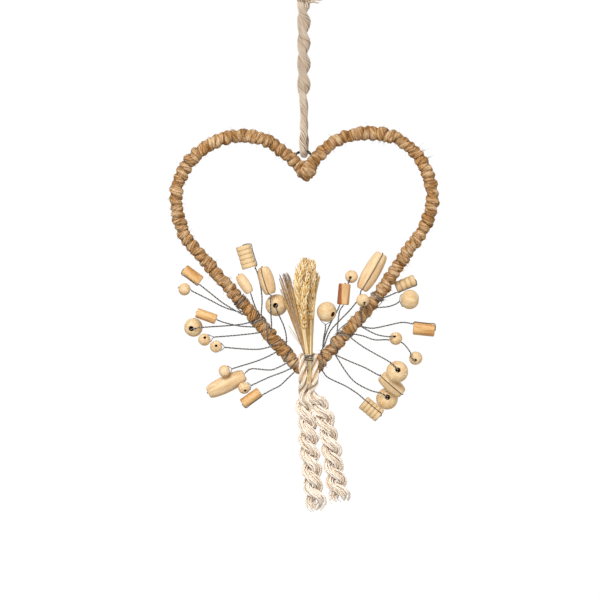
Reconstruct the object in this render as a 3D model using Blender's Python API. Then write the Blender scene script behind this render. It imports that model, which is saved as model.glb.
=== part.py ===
"""Beaded heart decoration: a jute wrapped heart on a twisted cord, with wired wooden beads.

The heart stands in the XZ plane and is seen along +Y. The origin is where a nail carries the
hanging loop. Run with: blender --background --python part.py
"""

import math
from collections import namedtuple

import bmesh
import bpy
from mathutils import Matrix, Vector
from mathutils.geometry import intersect_point_line

# Driving sizes of the heart, in metres
HEART_WIDTH = 0.2014
TUBE_THICKNESS = 0.0096
WRAP_PITCH = 0.0062
WRAP_RELIEF = 0.0005
CORNER_CLEAR = 0.0060

# Driving sizes of the wires
STEM_WIRE = 0.0010
EYE_WIRE = 0.0013
BINDING_WIRE = 0.0008
TOUCH_GAP = 0.0003
EYE_ROOM = 0.0015
WIRE_PAST_BEAD = 0.0008
LAST_LEAD = 0.0020
FRONT_SHARE = 0.35
STEM_STEP = 0.0090

# Driving sizes of the hanging cord
CORD_THICKNESS = 0.0053
CORD_TWIST_RADIUS = 0.0029
CORD_TWIST_PITCH = 0.0310
CORD_LEADS = (0.0160, 0.0280)
KNOT_HALF_WIDTH = 0.0062
KNOT_HALF_HEIGHT = 0.0058
LOOP_HALF_WIDTH = 0.0062

# Driving sizes of the tassel ropes
ROPE_THICKNESS = 0.0058
ROPE_RISE = 0.0137
TAIL_SPREAD = 0.0042
TAIL_TOP_SPREAD = 0.0032
TAIL_DEPTH = 0.0034
TAIL_OPENS_OVER = 0.0200
TAIL_TWIST_PITCH = 0.0236

# Driving sizes of the dried ears
STALK_THICKNESS = 0.0013
GRAIN_PITCH = 0.0050

# Bores of the beads
SMALL_BORE = 0.0019
LARGE_BORE = 0.0036

# Sides and steps of the faceted solids
TUBE_SIDES = 7
WIRE_SIDES = 3
BEAD_SIDES = 8
EAR_SIDES = 5
FINE_STEPS = 12
STEPS_A_TURN = 8

# The photograph's frame: what its pixels measure, its middle line and the height of the nail
HEART_WIDTH_PIXELS = 268.6
PIXEL = HEART_WIDTH / HEART_WIDTH_PIXELS
MIDDLE_U = 303.0
NAIL_V = -40.0

# The heart's centre line, in pixels of the photograph, from the cleft round each lobe to the tip
CLEFT = (305.0, 173.0)
TIP = (308.5, 375.0)
LEFT_LOBE = [
    (289.0, 156.4), (266.0, 140.5), (240.0, 135.6), (212.0, 143.5), (190.5, 160.5), (178.0, 184.0),
    (176.3, 205.0), (183.7, 234.0), (196.0, 250.0), (224.5, 282.8), (256.6, 319.6), (288.2, 355.9),
]
RIGHT_LOBE = [
    (319.5, 154.5), (338.0, 139.8), (362.0, 133.5), (386.0, 134.8), (405.0, 143.5), (422.0, 161.7),
    (431.3, 187.0), (430.8, 211.0), (419.6, 235.8), (409.0, 249.0), (377.4, 296.6), (350.6, 328.0),
    (327.7, 353.5),
]

# Where the wire eye stands on the two lobes, and the top of its arch
EYE_LEFT = (291.5, 158.3)
EYE_RIGHT = (316.0, 158.3)
EYE_TOP = (304.0, 147.8)

# The middle line of the hanging cord, and where its two strands lie one behind the other
CORD_U = 303.3
CORD_STRAIGHT_V = 95.0
KNOT_V = -4.0

# The tassel: the two ropes over the tip, and the middle line of each twisted tail
ROPE_LEFT_U = 303.2
ROPE_RIGHT_U = 313.8
ROPE_ACROSS_V = 370.0
ROPE_LEG_V = 381.0
ROPE_LEFT_GATHERED = (303.6, 391.0)
ROPE_RIGHT_GATHERED = (312.6, 391.0)
LEFT_TAIL = [(303.6, 399.0), (305.0, 409.0), (307.3, 422.0), (308.3, 438.0), (310.0, 453.0),
             (311.8, 472.0), (313.6, 490.0), (316.0, 506.0)]
RIGHT_TAIL = [(317.6, 399.0), (322.6, 408.0), (327.0, 421.0), (330.0, 437.0), (332.5, 454.0),
              (335.0, 472.0), (338.0, 495.0)]

# One bead: form, middle in pixels, distance behind the heart's plane, length and width, and its
# bore: either the slope of a bore that lies in the picture, or the pixel of a hole that faces us
Bead = namedtuple("Bead", "form u v back length width slope hole", defaults=(None, None))
BEADS = {
    "bead_left_ribbed": Bead("ribbed", 246.1, 256.9, -0.006, 0.0170, 0.0105, slope=107),
    "bead_left_short_oval": Bead("oval", 244.7, 283.8, -0.011, 0.0158, 0.0082, slope=122.6),
    "bead_left_barrel": Bead("oval", 266.9, 280.7, -0.009, 0.0210, 0.0112, slope=106.7),
    "bead_left_ball_inside": Bead("ball", 276.5, 305.2, -0.001, 0.0158, 0.0165, hole=(275.4, 305.6)),
    "bead_left_cylinder_top": Bead("cylinder", 192.8, 275.2, -0.006, 0.0153, 0.0079, slope=-36.6),
    "bead_left_ball_top": Bead("ball", 185.0, 289.3, -0.010, 0.0090, 0.0094, slope=-12),
    "bead_left_cylinder_middle": Bead("cylinder", 206.8, 316.0, -0.0115, 0.0155, 0.0075, slope=-19.5),
    "bead_left_ball_outer": Bead("ball", 193.4, 327.4, 0.001, 0.0134, 0.0140, hole=(191.1, 328.9)),
    "bead_left_ball_middle": Bead("ball", 204.7, 339.5, -0.006, 0.0088, 0.0092, hole=(205.3, 337.2)),
    "bead_left_ball_low": Bead("ball", 216.2, 346.4, -0.007, 0.0088, 0.0092, hole=(216.6, 345.5)),
    "bead_left_ball_over_oval": Bead("ball", 224.7, 370.8, -0.010, 0.0086, 0.0090, slope=18),
    "bead_left_long_oval": Bead("oval", 226.5, 383.8, -0.0025, 0.0306, 0.0131, slope=26.3),
    "bead_left_ball_bottom": Bead("ball", 244.4, 387.6, -0.009, 0.0086, 0.0090, hole=(245.7, 390.6)),
    "bead_left_cylinder_bottom": Bead("cylinder", 251.4, 397.1, -0.013, 0.0158, 0.0075, slope=35.6),
    "bead_right_ball_inside": Bead("ball", 326.6, 311.8, -0.0065, 0.0146, 0.0150, hole=(333.6, 314.7)),
    "bead_right_cylinder_inside": Bead("cylinder", 343.7, 294.2, -0.0105, 0.0158, 0.0090, slope=85),
    "bead_right_ball_behind": Bead("ball", 351.4, 276.6, -0.006, 0.0092, 0.0096, hole=(350.0, 277.9)),
    "bead_right_long_oval": Bead("oval", 371.8, 271.7, -0.002, 0.0312, 0.0129, slope=60),
    "bead_right_ball_on_tube": Bead("ball", 362.3, 300.3, -0.0125, 0.0093, 0.0097, hole=(364.3, 303.1)),
    "bead_right_ribbed_top": Bead("ribbed", 405.8, 283.7, 0.0075, 0.0156, 0.0090, slope=22.6),
    "bead_right_ball_top": Bead("ball", 409.5, 299.5, -0.007, 0.0140, 0.0146, slope=-8),
    "bead_right_cylinder_outer": Bead("cylinder", 423.6, 329.3, -0.006, 0.0161, 0.0094, slope=-6),
    "bead_right_ball_middle": Bead("ball", 395.4, 338.4, -0.007, 0.0093, 0.0097, hole=(394.2, 336.0)),
    "bead_right_ball_outer": Bead("ball", 415.3, 358.0, -0.007, 0.0097, 0.0101, hole=(414.7, 360.2)),
    "bead_right_disc_front": Bead("ball", 396.5, 371.2, -0.015, 0.0125, 0.0165, hole=(397.2, 368.6)),
    "bead_right_oval": Bead("oval", 391.6, 384.4, -0.004, 0.0211, 0.0116, slope=-41),
    "bead_right_disc_back": Bead("ball", 387.2, 399.0, 0.0065, 0.0125, 0.0165, hole=(388.0, 396.6)),
    "bead_right_ribbed_bottom": Bead("ribbed", 371.4, 409.0, -0.003, 0.0162, 0.0112, slope=-40),
}
FACING_OUT = 0.35

# The stem of each bead in pixels, from the bead to where it joins the winding on the heart.
# A third number is how far behind the heart's plane the wire runs there, in metres
LEFT_STEMS = {
    "bead_left_ribbed": [(257.5, 273.0), (260.8, 287.0), (262.1, 300.0), (261.2, 315.0)],
    "bead_left_short_oval": [(253.7, 302.3), (257.0, 311.0), (258.5, 318.0)],
    "bead_left_barrel": [(270.8, 300.0, -0.0115), (270.9, 312.0, -0.0115), (271.6, 325.7),
                         (270.5, 332.0)],
    "bead_left_ball_inside": [(277.6, 312.0, -0.0105), (283.7, 325.7), (286.3, 336.0), (286.4, 345.5)],
    "bead_left_cylinder_top": [(210.2, 292.8), (221.7, 302.0), (233.1, 309.0), (246.0, 315.0)],
    "bead_left_ball_top": [(210.2, 300.0), (225.0, 307.5), (240.0, 313.6)],
    "bead_left_cylinder_middle": [(225.0, 322.6), (240.0, 326.0), (254.5, 327.0)],
    "bead_left_ball_outer": [(202.6, 328.8, -0.0085), (225.1, 325.0), (242.6, 323.0), (250.5, 321.5)],
    "bead_left_ball_middle": [(213.9, 337.0), (232.1, 335.6), (249.6, 333.9), (260.8, 332.4)],
    "bead_left_ball_low": [(225.1, 347.2), (245.0, 348.9), (260.2, 349.0), (272.6, 346.0)],
    "bead_left_ball_over_oval": [(242.8, 365.3), (256.6, 361.0), (268.0, 356.3), (277.2, 351.5)],
    "bead_left_long_oval": [(252.0, 368.6), (267.2, 369.4), (277.0, 366.0), (283.6, 358.8)],
    "bead_left_ball_bottom": [(250.8, 385.1, -0.0130), (267.0, 377.4), (281.2, 371.1), (290.0, 364.2)],
    "bead_left_cylinder_bottom": [(266.5, 391.0), (278.0, 387.0), (287.5, 378.6), (292.4, 369.3)],
}
RIGHT_STEMS = {
    "bead_right_ball_inside": [(335.5, 320.5, -0.0115), (330.0, 328.0, -0.0090), (325.0, 336.0),
                               (324.2, 349.5)],
    "bead_right_cylinder_inside": [(339.5, 311.0), (338.0, 321.0), (337.0, 333.0)],
    "bead_right_ball_behind": [(345.0, 292.0, -0.0010), (338.0, 309.0, -0.0005), (330.6, 323.0, -0.0010),
                               (328.9, 337.0)],
    "bead_right_long_oval": [(358.5, 299.0, -0.0025), (349.0, 311.0), (340.5, 319.7), (333.4, 328.5)],
    "bead_right_ball_on_tube": [(361.0, 311.0, -0.0140), (361.4, 319.0), (361.6, 325.5)],
    "bead_right_ribbed_top": [(391.5, 292.5, 0.0010), (388.0, 295.4), (383.8, 297.9)],
    "bead_right_ball_top": [(395.5, 304.0), (387.9, 306.6), (376.2, 307.6)],
    "bead_right_cylinder_outer": [(404.2, 323.4), (392.7, 324.2), (381.2, 325.6), (365.8, 321.4)],
    "bead_right_ball_middle": [(388.1, 335.4, -0.0125), (378.2, 334.5), (369.7, 331.1), (358.4, 329.6)],
    "bead_right_ball_outer": [(411.0, 351.5, -0.0125), (401.0, 345.5, -0.0130), (388.0, 341.5, -0.0130),
                              (369.7, 339.2), (355.2, 333.8)],
    "bead_right_disc_front": [(389.5, 361.8, -0.0200), (375.0, 353.6), (362.1, 346.1), (351.3, 338.2)],
    "bead_right_oval": [(369.1, 368.9), (358.6, 363.9), (348.1, 358.0), (341.4, 349.4)],
    "bead_right_disc_back": [(378.0, 394.0, -0.0030), (362.1, 386.1), (348.1, 374.6), (336.6, 355.6)],
    "bead_right_ribbed_bottom": [(356.7, 393.0), (342.0, 383.7), (332.6, 378.4), (329.0, 364.6)],
}

# Each straight limb of the heart in pixels, and in metres down it the places where the winding
# crosses its front, and where and at what angle its lower end lies
LEFT_LIMB = dict(start=LEFT_LOBE[9], end=LEFT_LOBE[11], inner_side=1, low_end=0.0835, low_angle=-50,
                 crossings=[0.0280, 0.0385, 0.0495, 0.0600, 0.0665, 0.0730])
RIGHT_LIMB = dict(start=RIGHT_LOBE[10], end=RIGHT_LOBE[12], inner_side=-1, low_end=0.0625, low_angle=-65,
                  crossings=[0.0, 0.0080, 0.0220, 0.0290, 0.0360, 0.0430, 0.0500, 0.0565])

# The dried bunch: middle line in pixels with the depth behind the plane, and half widths there
Spray = namedtuple("Spray", "route swell flat ribbed")
SPRAYS = {
    "wheat_ear_left": Spray(
        [(307.4, 362.0, -0.0122), (304.5, 340.0, -0.0120), (300.6, 310.0, -0.0115),
         (298.6, 283.0, -0.0120), (301.4, 270.0, -0.0125), (305.8, 258.5, -0.0130)],
        [(0.0, 0.0007), (0.42, 0.0010), (0.50, 0.0034), (0.80, 0.0048), (1.0, 0.0010)], 0.75, True),
    "wheat_ear_front": Spray(
        [(309.0, 362.0, -0.0136), (306.6, 345.0, -0.0155), (304.3, 325.0, -0.0200),
         (304.0, 302.0, -0.0205), (306.6, 285.0, -0.0200), (308.8, 270.5, -0.0190)],
        [(0.0, 0.0007), (0.30, 0.0010), (0.40, 0.0026), (0.80, 0.0034), (1.0, 0.0012)], 0.85, True),
    "wheat_ear_right": Spray(
        [(310.4, 362.0, -0.0122), (310.6, 340.0, -0.0120), (311.2, 312.0, -0.0118),
         (311.6, 290.0, -0.0120), (311.9, 272.0, -0.0125), (312.0, 259.0, -0.0130)],
        [(0.0, 0.0007), (0.36, 0.0010), (0.48, 0.0024), (0.85, 0.0034), (1.0, 0.0010)], 0.85, True),
    "wheat_leaf": Spray(
        [(311.0, 353.0, -0.0098), (312.8, 330.0, -0.0076), (315.0, 305.0, -0.0065), (318.4, 275.0, -0.0070)],
        [(0.0, 0.0006), (0.35, 0.0010), (0.8, 0.0020), (1.0, 0.0014)], 0.30, False),
    "grass_plume": Spray(
        [(306.6, 353.0, -0.0098), (301.0, 338.0, -0.0078), (294.0, 315.0, -0.0060), (284.5, 276.0, -0.0065)],
        [(0.0, 0.0007), (0.2, 0.0015), (0.65, 0.0032), (1.0, 0.0036)], 0.40, False),
}
BINDING_V = 358.0
BINDING_BACK = -0.0127
BINDING_U = 309.0
BINDING_RADIUS = 0.0030

# Colours, roughness and metallic value of each material
FINISHES = {
    "jute": ((0.50, 0.30, 0.13), 0.90, 0.0),
    "pale_wood": ((0.80, 0.60, 0.36), 0.45, 0.0),
    "stem_wire": ((0.16, 0.15, 0.15), 0.40, 0.9),
    "cotton": ((0.80, 0.68, 0.52), 0.95, 0.0),
    "wheat": ((0.68, 0.45, 0.17), 0.75, 0.0),
}


def spot(u, v, back=0.0):
    """The place of a pixel of the photograph, back metres behind the plane of the heart."""
    return Vector(((u - MIDDLE_U) * PIXEL, back, (NAIL_V - v) * PIXEL))


def material(name):
    """The finish of that name, made once."""
    if name in bpy.data.materials:
        return bpy.data.materials[name]
    colour, roughness, metallic = FINISHES[name]
    made = bpy.data.materials.new(name)
    made.use_nodes = True
    shader = made.node_tree.nodes["Principled BSDF"]
    shader.inputs["Base Color"].default_value = (*colour, 1.0)
    shader.inputs["Roughness"].default_value = roughness
    shader.inputs["Metallic"].default_value = metallic
    return made


def finished(name, bm, finish):
    """The bmesh as a smooth shaded object of that name and finish."""
    bmesh.ops.recalc_face_normals(bm, faces=bm.faces)
    mesh = bpy.data.meshes.new(name)
    bm.to_mesh(mesh)
    bm.free()
    mesh.shade_smooth()
    mesh.set_sharp_from_angle(angle=math.radians(50))
    mesh.materials.append(material(finish))
    thing = bpy.data.objects.new(name, mesh)
    bpy.context.scene.collection.objects.link(thing)
    return thing


def even_steps(points, spacing):
    """The same line with points at even steps of about the given spacing."""
    reached = [0.0]
    for start, end in zip(points, points[1:]):
        reached.append(reached[-1] + (end - start).length)
    count = max(2, round(reached[-1] / spacing))
    line = []
    run = 0
    for step in range(count + 1):
        wanted = reached[-1] * step / count
        while run < len(points) - 2 and reached[run + 1] < wanted:
            run += 1
        share = (wanted - reached[run]) / (reached[run + 1] - reached[run])
        line.append(points[run].lerp(points[run + 1], share))
    return line


def smooth_route(points, spacing):
    """A smooth curve through the points, read at even steps of about the given spacing."""
    framed = [2 * points[0] - points[1], *points, 2 * points[-1] - points[-2]]
    dense = []
    for before, start, end, after in zip(framed, framed[1:], framed[2:], framed[3:]):
        for step in range(FINE_STEPS):
            t = step / FINE_STEPS
            bend = 2 * before - 5 * start + 4 * end - after
            twist = 3 * start - before - 3 * end + after
            dense.append(0.5 * (2 * start + (end - before) * t + bend * t ** 2 + twist * t ** 3))
    dense.append(points[-1])
    return even_steps(dense, spacing)


def ring(bm, centre, across, depth, half_width, half_depth, sides):
    """The edges of one ring of the given half sizes, with a corner on each of its two axes."""
    along = across.cross(depth)
    frame = Matrix((across * half_width, depth * half_depth, along)).transposed().to_4x4()
    made = bmesh.ops.create_circle(
        bm, segments=sides, radius=1.0, matrix=Matrix.Translation(centre) @ frame)
    return list({edge for vert in made["verts"] for edge in vert.link_edges})


def swept(bm, points, half_widths, half_depths, sides, flat_to):
    """A closed solid along the points, its width lying square to flat_to."""
    loops = []
    for place, (point, width, depth) in enumerate(zip(points, half_widths, half_depths)):
        before = points[max(place - 1, 0)]
        after = points[min(place + 1, len(points) - 1)]
        across = (after - before).cross(flat_to).normalized()
        deep = (after - before).cross(across).normalized()
        loops.append(ring(bm, point, across, deep, width, depth, sides))
    for start, end in zip(loops, loops[1:]):
        bmesh.ops.bridge_loops(bm, edges=start + end)
    for rim in (loops[0], loops[-1]):
        bmesh.ops.contextual_create(bm, geom=rim)


def wire(name, points, thickness, finish="stem_wire"):
    """A round wire along the points."""
    bm = bmesh.new()
    around = smooth_turning(points)
    half = thickness / 2
    loops = []
    for point, (across, deep) in zip(points, around):
        loops.append(ring(bm, point, across, deep, half, half, WIRE_SIDES))
    for start, end in zip(loops, loops[1:]):
        bmesh.ops.bridge_loops(bm, edges=start + end)
    for rim in (loops[0], loops[-1]):
        bmesh.ops.contextual_create(bm, geom=rim)
    return finished(name, bm, finish)


def smooth_turning(points):
    """At each point the two directions square to the line, carried along it without a twist."""
    frames = []
    across = None
    for place, point in enumerate(points):
        along = (points[min(place + 1, len(points) - 1)] - points[max(place - 1, 0)]).normalized()
        if across is None:
            across = along.orthogonal().normalized()
        across = (across - along * across.dot(along)).normalized()
        frames.append((across, along.cross(across)))
    return frames


def cord_tube(name, points, thickness, finish="cotton"):
    """A cord or rope as a round bevelled curve through the points, with filled ends."""
    data = bpy.data.curves.new(name, "CURVE")
    data.dimensions = "3D"
    data.bevel_depth = thickness / 2
    data.bevel_resolution = 2
    data.use_fill_caps = True
    line = data.splines.new("POLY")
    line.points.add(len(points) - 1)
    for knot, point in zip(line.points, points):
        knot.co = (*point, 1.0)
    data.materials.append(material(finish))
    tube = bpy.data.objects.new(name, data)
    bpy.context.scene.collection.objects.link(tube)
    return tube


# The heart's own line

def half_line(lobe, spacing, first, last):
    """One half of the heart's centre line, from one corner to the other."""
    return smooth_route([spot(*pixel) for pixel in (first, *lobe, last)], spacing)


def jute_heart():
    """The frame wound with jute: a tube with a ridge for each turn and a sharp cleft and tip."""
    step = WRAP_PITCH / 2
    left = half_line(LEFT_LOBE, step, CLEFT, TIP)
    right = half_line(RIGHT_LOBE[::-1], step, TIP, CLEFT)
    line = []
    for half in (left, right):
        kept = [point for point in half[1:-1]
                if min((point - half[0]).length, (point - half[-1]).length) > CORNER_CLEAR]
        line += [half[0], *kept]
    bm = bmesh.new()
    loops = []
    viewed = Vector((0, 1, 0))
    for place, point in enumerate(line):
        coming = (point - line[place - 1]).normalized()
        going = (line[(place + 1) % len(line)] - point).normalized()
        across = (coming + going).cross(viewed).normalized()
        mitre = 1 / math.sqrt((1 + coming.dot(going)) / 2)
        relief = WRAP_RELIEF if place % 2 else -WRAP_RELIEF
        half = TUBE_THICKNESS / 2 + relief
        loops.append(ring(bm, point, across, viewed, half * mitre, half, TUBE_SIDES))
    for start, end in zip(loops, loops[1:] + loops[:1]):
        bmesh.ops.bridge_loops(bm, edges=start + end)
    return finished("jute_heart", bm, "jute")


def clear_radius(thickness):
    """How far from the tube's middle a wire of that thickness runs round the wrapping."""
    return TUBE_THICKNESS / 2 + WRAP_RELIEF + TOUCH_GAP + thickness / 2


def round_tube(point, inwards, radius, angle):
    """A place round the tube: angle 0 is towards the viewer and a quarter turn is inwards."""
    towards = Vector((0, -1, 0))
    return point + radius * (math.cos(angle) * towards + math.sin(angle) * inwards)


class Limb:
    """One straight limb of the heart and the wire wound on it, which holds its stems."""

    def __init__(self, start, end, inner_side, crossings, low_end, low_angle):
        self.start = spot(*start)
        self.along = (spot(*end) - self.start).normalized()
        square = self.along.cross(Vector((0, 1, 0)))
        self.inwards = square if square.x * inner_side > 0 else -square
        self.radius = clear_radius(STEM_WIRE) / math.cos(math.pi / STEPS_A_TURN)
        turn = 2 * math.pi
        keys = [(low_end, math.radians(low_angle))]
        keys += [(down, turn * count) for count, down in enumerate(crossings[::-1])]
        keys.append((crossings[0] - LAST_LEAD, keys[-1][1] + turn / 4))
        self.winding = []
        for (down, angle), (next_down, next_angle) in zip(keys, keys[1:]):
            steps = max(1, round((next_angle - angle) / turn * STEPS_A_TURN))
            for step in range(steps):
                share = step / steps
                self.winding.append(
                    self.at(down + (next_down - down) * share, angle + (next_angle - angle) * share))
        self.winding.append(self.at(*keys[-1]))

    def at(self, down, angle):
        """A place on the limb: angle 0 is towards the viewer and a quarter turn is inwards."""
        return round_tube(self.start + self.along * down, self.inwards, self.radius, angle)

    def foot(self, u, v):
        """The place on the winding nearest to where a stem ends in the photograph."""
        reach = spot(u, v) - self.start
        side = max(-0.97, min(0.97, reach.dot(self.inwards) / self.radius))
        wanted = self.at(reach.dot(self.along), math.asin(side))
        places = []
        for start, end in zip(self.winding, self.winding[1:]):
            share = intersect_point_line(wanted, start, end)[1]
            place = start.lerp(end, max(0.0, min(1.0, share)))
            if place.y < -self.radius * FRONT_SHARE:
                places.append(place)
        return min(places, key=lambda place: (place - wanted).length)

    def kept_clear(self, point):
        """The point, moved towards the viewer where it would run into the wrapping."""
        side = (point - self.start).dot(self.inwards)
        if abs(side) >= self.radius:
            return point
        front = -math.sqrt(self.radius ** 2 - side ** 2)
        return Vector((point.x, min(point.y, front), point.z))


# Beads

def bore_of(bead):
    """The bore of a bead: the wider one in the big turned balls."""
    return LARGE_BORE if bead.form == "ball" and bead.width > 0.012 else SMALL_BORE


def bore_line(bead):
    """The direction of the bore, from the end its stem leaves to the other end."""
    if bead.hole is None:
        slope = math.radians(bead.slope)
        return Vector((math.cos(slope), 0, math.sin(slope)))
    face = (spot(*bead.hole) - spot(bead.u, bead.v)) / (bead.width / 2)
    towards = math.sqrt(max(FACING_OUT, 1 - face.x ** 2 - face.z ** 2))
    return -Vector((face.x, -towards, face.z)).normalized()


def ball_profile(half_length, half_width, bore):
    steps = 5 if half_width > 0.006 else 4
    edge = math.acos(bore / half_width)
    angles = [edge * (2 * step / steps - 1) for step in range(steps + 1)]
    lift = half_length / half_width
    return [(half_width * math.cos(angle), half_width * lift * math.sin(angle)) for angle in angles]


def cylinder_profile(half_length, half_width, bore):
    soft = half_width * 0.16
    side = [(half_width - soft, half_length), (half_width, half_length - soft)]
    lower = [(radius, -height) for radius, height in side]
    return [(bore, -half_length), *lower, *side[::-1], (bore, half_length)]


def oval_profile(half_length, half_width, bore):
    end_width = half_width * 0.55
    heights = [-1.0, -0.68, -0.25, 0.25, 0.68, 1.0]
    bulge = [end_width + (half_width - end_width) * math.sqrt(1 - height ** 2) for height in heights]
    side = [(radius, half_length * height) for radius, height in zip(bulge, heights)]
    return [(bore, -half_length), *side, (bore, half_length)]


def ribbed_profile(half_length, half_width, bore):
    ribs = 4
    side = []
    for step in range(2 * ribs + 1):
        radius = half_width * (0.86 if step % 2 == 0 else 1.0)
        side.append((radius, half_length * (step / ribs - 1)))
    return [(bore, -half_length), *side, (bore, half_length)]


PROFILES = {
    "ball": ball_profile,
    "cylinder": cylinder_profile,
    "oval": oval_profile,
    "ribbed": ribbed_profile,
}


def turned_bead(name, bead):
    """A wooden bead turned round its bore, then set in its place."""
    profile = PROFILES[bead.form](bead.length / 2, bead.width / 2, bore_of(bead) / 2)
    bm = bmesh.new()
    rim = [bm.verts.new((radius, 0, height)) for radius, height in profile]
    edges = [bm.edges.new(pair) for pair in zip(rim, rim[1:] + rim[:1])]
    bmesh.ops.spin(bm, geom=rim + edges, cent=(0, 0, 0), axis=(0, 0, 1), angle=2 * math.pi,
                   steps=BEAD_SIDES, use_merge=True)
    made = finished(name, bm, "pale_wood")
    made.location = spot(bead.u, bead.v, bead.back)
    made.rotation_mode = "QUATERNION"
    made.rotation_quaternion = bore_line(bead).to_track_quat("Z", "Y")
    return made


def stem_line(bead, pixels, limb):
    """The wire of one bead: through the bore, then along its stem to the winding."""
    middle = spot(bead.u, bead.v, bead.back)
    bore = bore_line(bead)
    out = spot(*pixels[0][:2], bead.back) - middle
    if bead.hole is None and bore.dot(out) > 0:
        bore = -bore
    far = middle + bore * (bead.length / 2 + WIRE_PAST_BEAD)
    near = middle - bore * (bead.length / 2 + WIRE_PAST_BEAD)
    foot = limb.foot(*pixels[-1][:2])
    route = [near]
    count = len(pixels)
    for place, pixel in enumerate(pixels[:-1]):
        share = (place + 1) / count
        back = pixel[2] if len(pixel) > 2 else near.y + (foot.y - near.y) * share
        route.append(spot(pixel[0], pixel[1], back))
    route.append(foot)
    stem = smooth_route(route, STEM_STEP)
    clear = [limb.kept_clear(point) for point in stem[1:-1]]
    return [far, stem[0], *clear, stem[-1]]


def joined(name, pieces):
    """One body from pieces that run into each other."""
    first, *others = pieces
    group = bpy.data.collections.new(name + "_joined")
    for piece in others:
        group.objects.link(piece)
        piece.hide_render = True
        piece.display_type = "WIRE"
    union = first.modifiers.new("joined", "BOOLEAN")
    union.operation = "UNION"
    union.operand_type = "COLLECTION"
    union.collection = group
    union.solver = "EXACT"
    first.name = name
    return first


def stem_wires(side, stems, limb):
    """All stems of one side and the winding that holds them, as one wire."""
    pieces = [wire(f"winding_{side}", limb.winding, STEM_WIRE)]
    for name, pixels in stems.items():
        pieces.append(wire(f"stem_of_{name}", stem_line(BEADS[name], pixels, limb), STEM_WIRE))
    return joined(f"stem_wire_{side}", pieces)


# Hanging cord

def wire_eye():
    """The wire arch over the cleft, hooked round the wrapped tube behind each lobe."""
    radius = clear_radius(EYE_WIRE)
    hooks = []
    for pixel, lobe_next in ((EYE_LEFT, LEFT_LOBE[0]), (EYE_RIGHT, RIGHT_LOBE[0])):
        away = (spot(*lobe_next) - spot(*CLEFT)).normalized()
        up = away.cross(Vector((0, 1, 0)))
        up = up if up.z > 0 else -up
        angles = [math.radians(angle) for angle in (270, 225, 180, 135, 90)]
        hooks.append([round_tube(spot(*pixel), up, radius, angle) for angle in angles])
    left, right = hooks
    top = spot(*EYE_TOP)
    arch = smooth_route([left[-2], left[-1], top, right[-1], right[-2]], EYE_WIRE * 3)
    return wire("wire_eye", left[:-2] + arch + right[:-2][::-1], EYE_WIRE)


def hanging_cord():
    """The cord from the knot down round the wire eye and up again, its two strands twisted."""
    eye = spot(*EYE_TOP)
    middle_x = spot(CORD_U, 0).x
    turn_radius = CORD_THICKNESS / 2 + EYE_WIRE / 2 + EYE_ROOM
    slope = math.atan(2 * math.pi * CORD_TWIST_RADIUS / CORD_TWIST_PITCH)
    end_slant = CORD_THICKNESS / 2 * math.sin(slope)
    top_z = spot(0, KNOT_V).z - KNOT_HALF_HEIGHT - TOUCH_GAP - end_slant
    twist_z = spot(0, CORD_STRAIGHT_V).z
    front = []
    steps = round((top_z - twist_z) / CORD_TWIST_PITCH * STEPS_A_TURN)
    for step in range(steps + 1):
        height = top_z + (twist_z - top_z) * step / steps
        angle = 2 * math.pi * (twist_z - height) / CORD_TWIST_PITCH
        offset = CORD_TWIST_RADIUS * Vector((math.sin(angle), -math.cos(angle), 0))
        front.append((height, offset))
    strand = [Vector((middle_x, 0, height)) + offset for height, offset in front]
    other = [Vector((middle_x, 0, height)) - offset for height, offset in front]
    lead = [Vector((eye.x, -turn_radius, twist_z - drop)) for drop in CORD_LEADS]
    turn = [eye + turn_radius * Vector((0, -math.cos(angle), -math.sin(angle)))
            for angle in [math.pi * part / 6 for part in range(7)]]
    mirrored = [Vector((point.x, -point.y, point.z)) for point in lead[::-1]]
    return cord_tube("hanging_cord", strand + lead + turn + mirrored + other[::-1], CORD_THICKNESS)


def hanging_knot():
    """The overhand knot under the loop, as a lumpy ball."""
    bm = bmesh.new()
    bmesh.ops.create_uvsphere(bm, u_segments=10, v_segments=7, radius=1.0)
    for vert in bm.verts:
        turn = math.atan2(vert.co.y, vert.co.x)
        lump = 1 - 0.08 * (1 + math.cos(2 * turn + 3 * vert.co.z))
        vert.co = Vector((vert.co.x * KNOT_HALF_WIDTH * lump, vert.co.y * KNOT_HALF_WIDTH * lump,
                          vert.co.z * KNOT_HALF_HEIGHT))
    knot = finished("hanging_knot", bm, "cotton")
    knot.location = spot(CORD_U, KNOT_V)
    return knot


def hanging_loop():
    """The loop above the knot, whose inner top is the origin."""
    foot_z = spot(0, KNOT_V).z + KNOT_HALF_HEIGHT + TOUCH_GAP
    side = CORD_THICKNESS / 2 + TOUCH_GAP
    top_z = CORD_THICKNESS / 2
    middle_x = spot(CORD_U, 0).x
    arch_z = top_z - LOOP_HALF_WIDTH
    arch_part = LOOP_HALF_WIDTH * math.sqrt(0.5)
    half = [Vector((middle_x - side, 0, foot_z)),
            Vector((middle_x - side * 1.2, 0, foot_z + CORD_THICKNESS * 0.57)),
            Vector((-LOOP_HALF_WIDTH * 0.93, 0, arch_z - CORD_THICKNESS * 0.75)),
            Vector((-LOOP_HALF_WIDTH, 0, arch_z)),
            Vector((-arch_part, 0, arch_z + arch_part)),
            Vector((0, 0, top_z))]
    mirrored = [Vector((2 * middle_x - point.x, 0, point.z)) for point in half[:2]]
    mirrored += [Vector((-point.x, 0, point.z)) for point in half[2:-1]]
    line = smooth_route(half + mirrored[::-1], CORD_THICKNESS * 0.6)
    return cord_tube("hanging_loop", line, CORD_THICKNESS)


# Tassel

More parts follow.
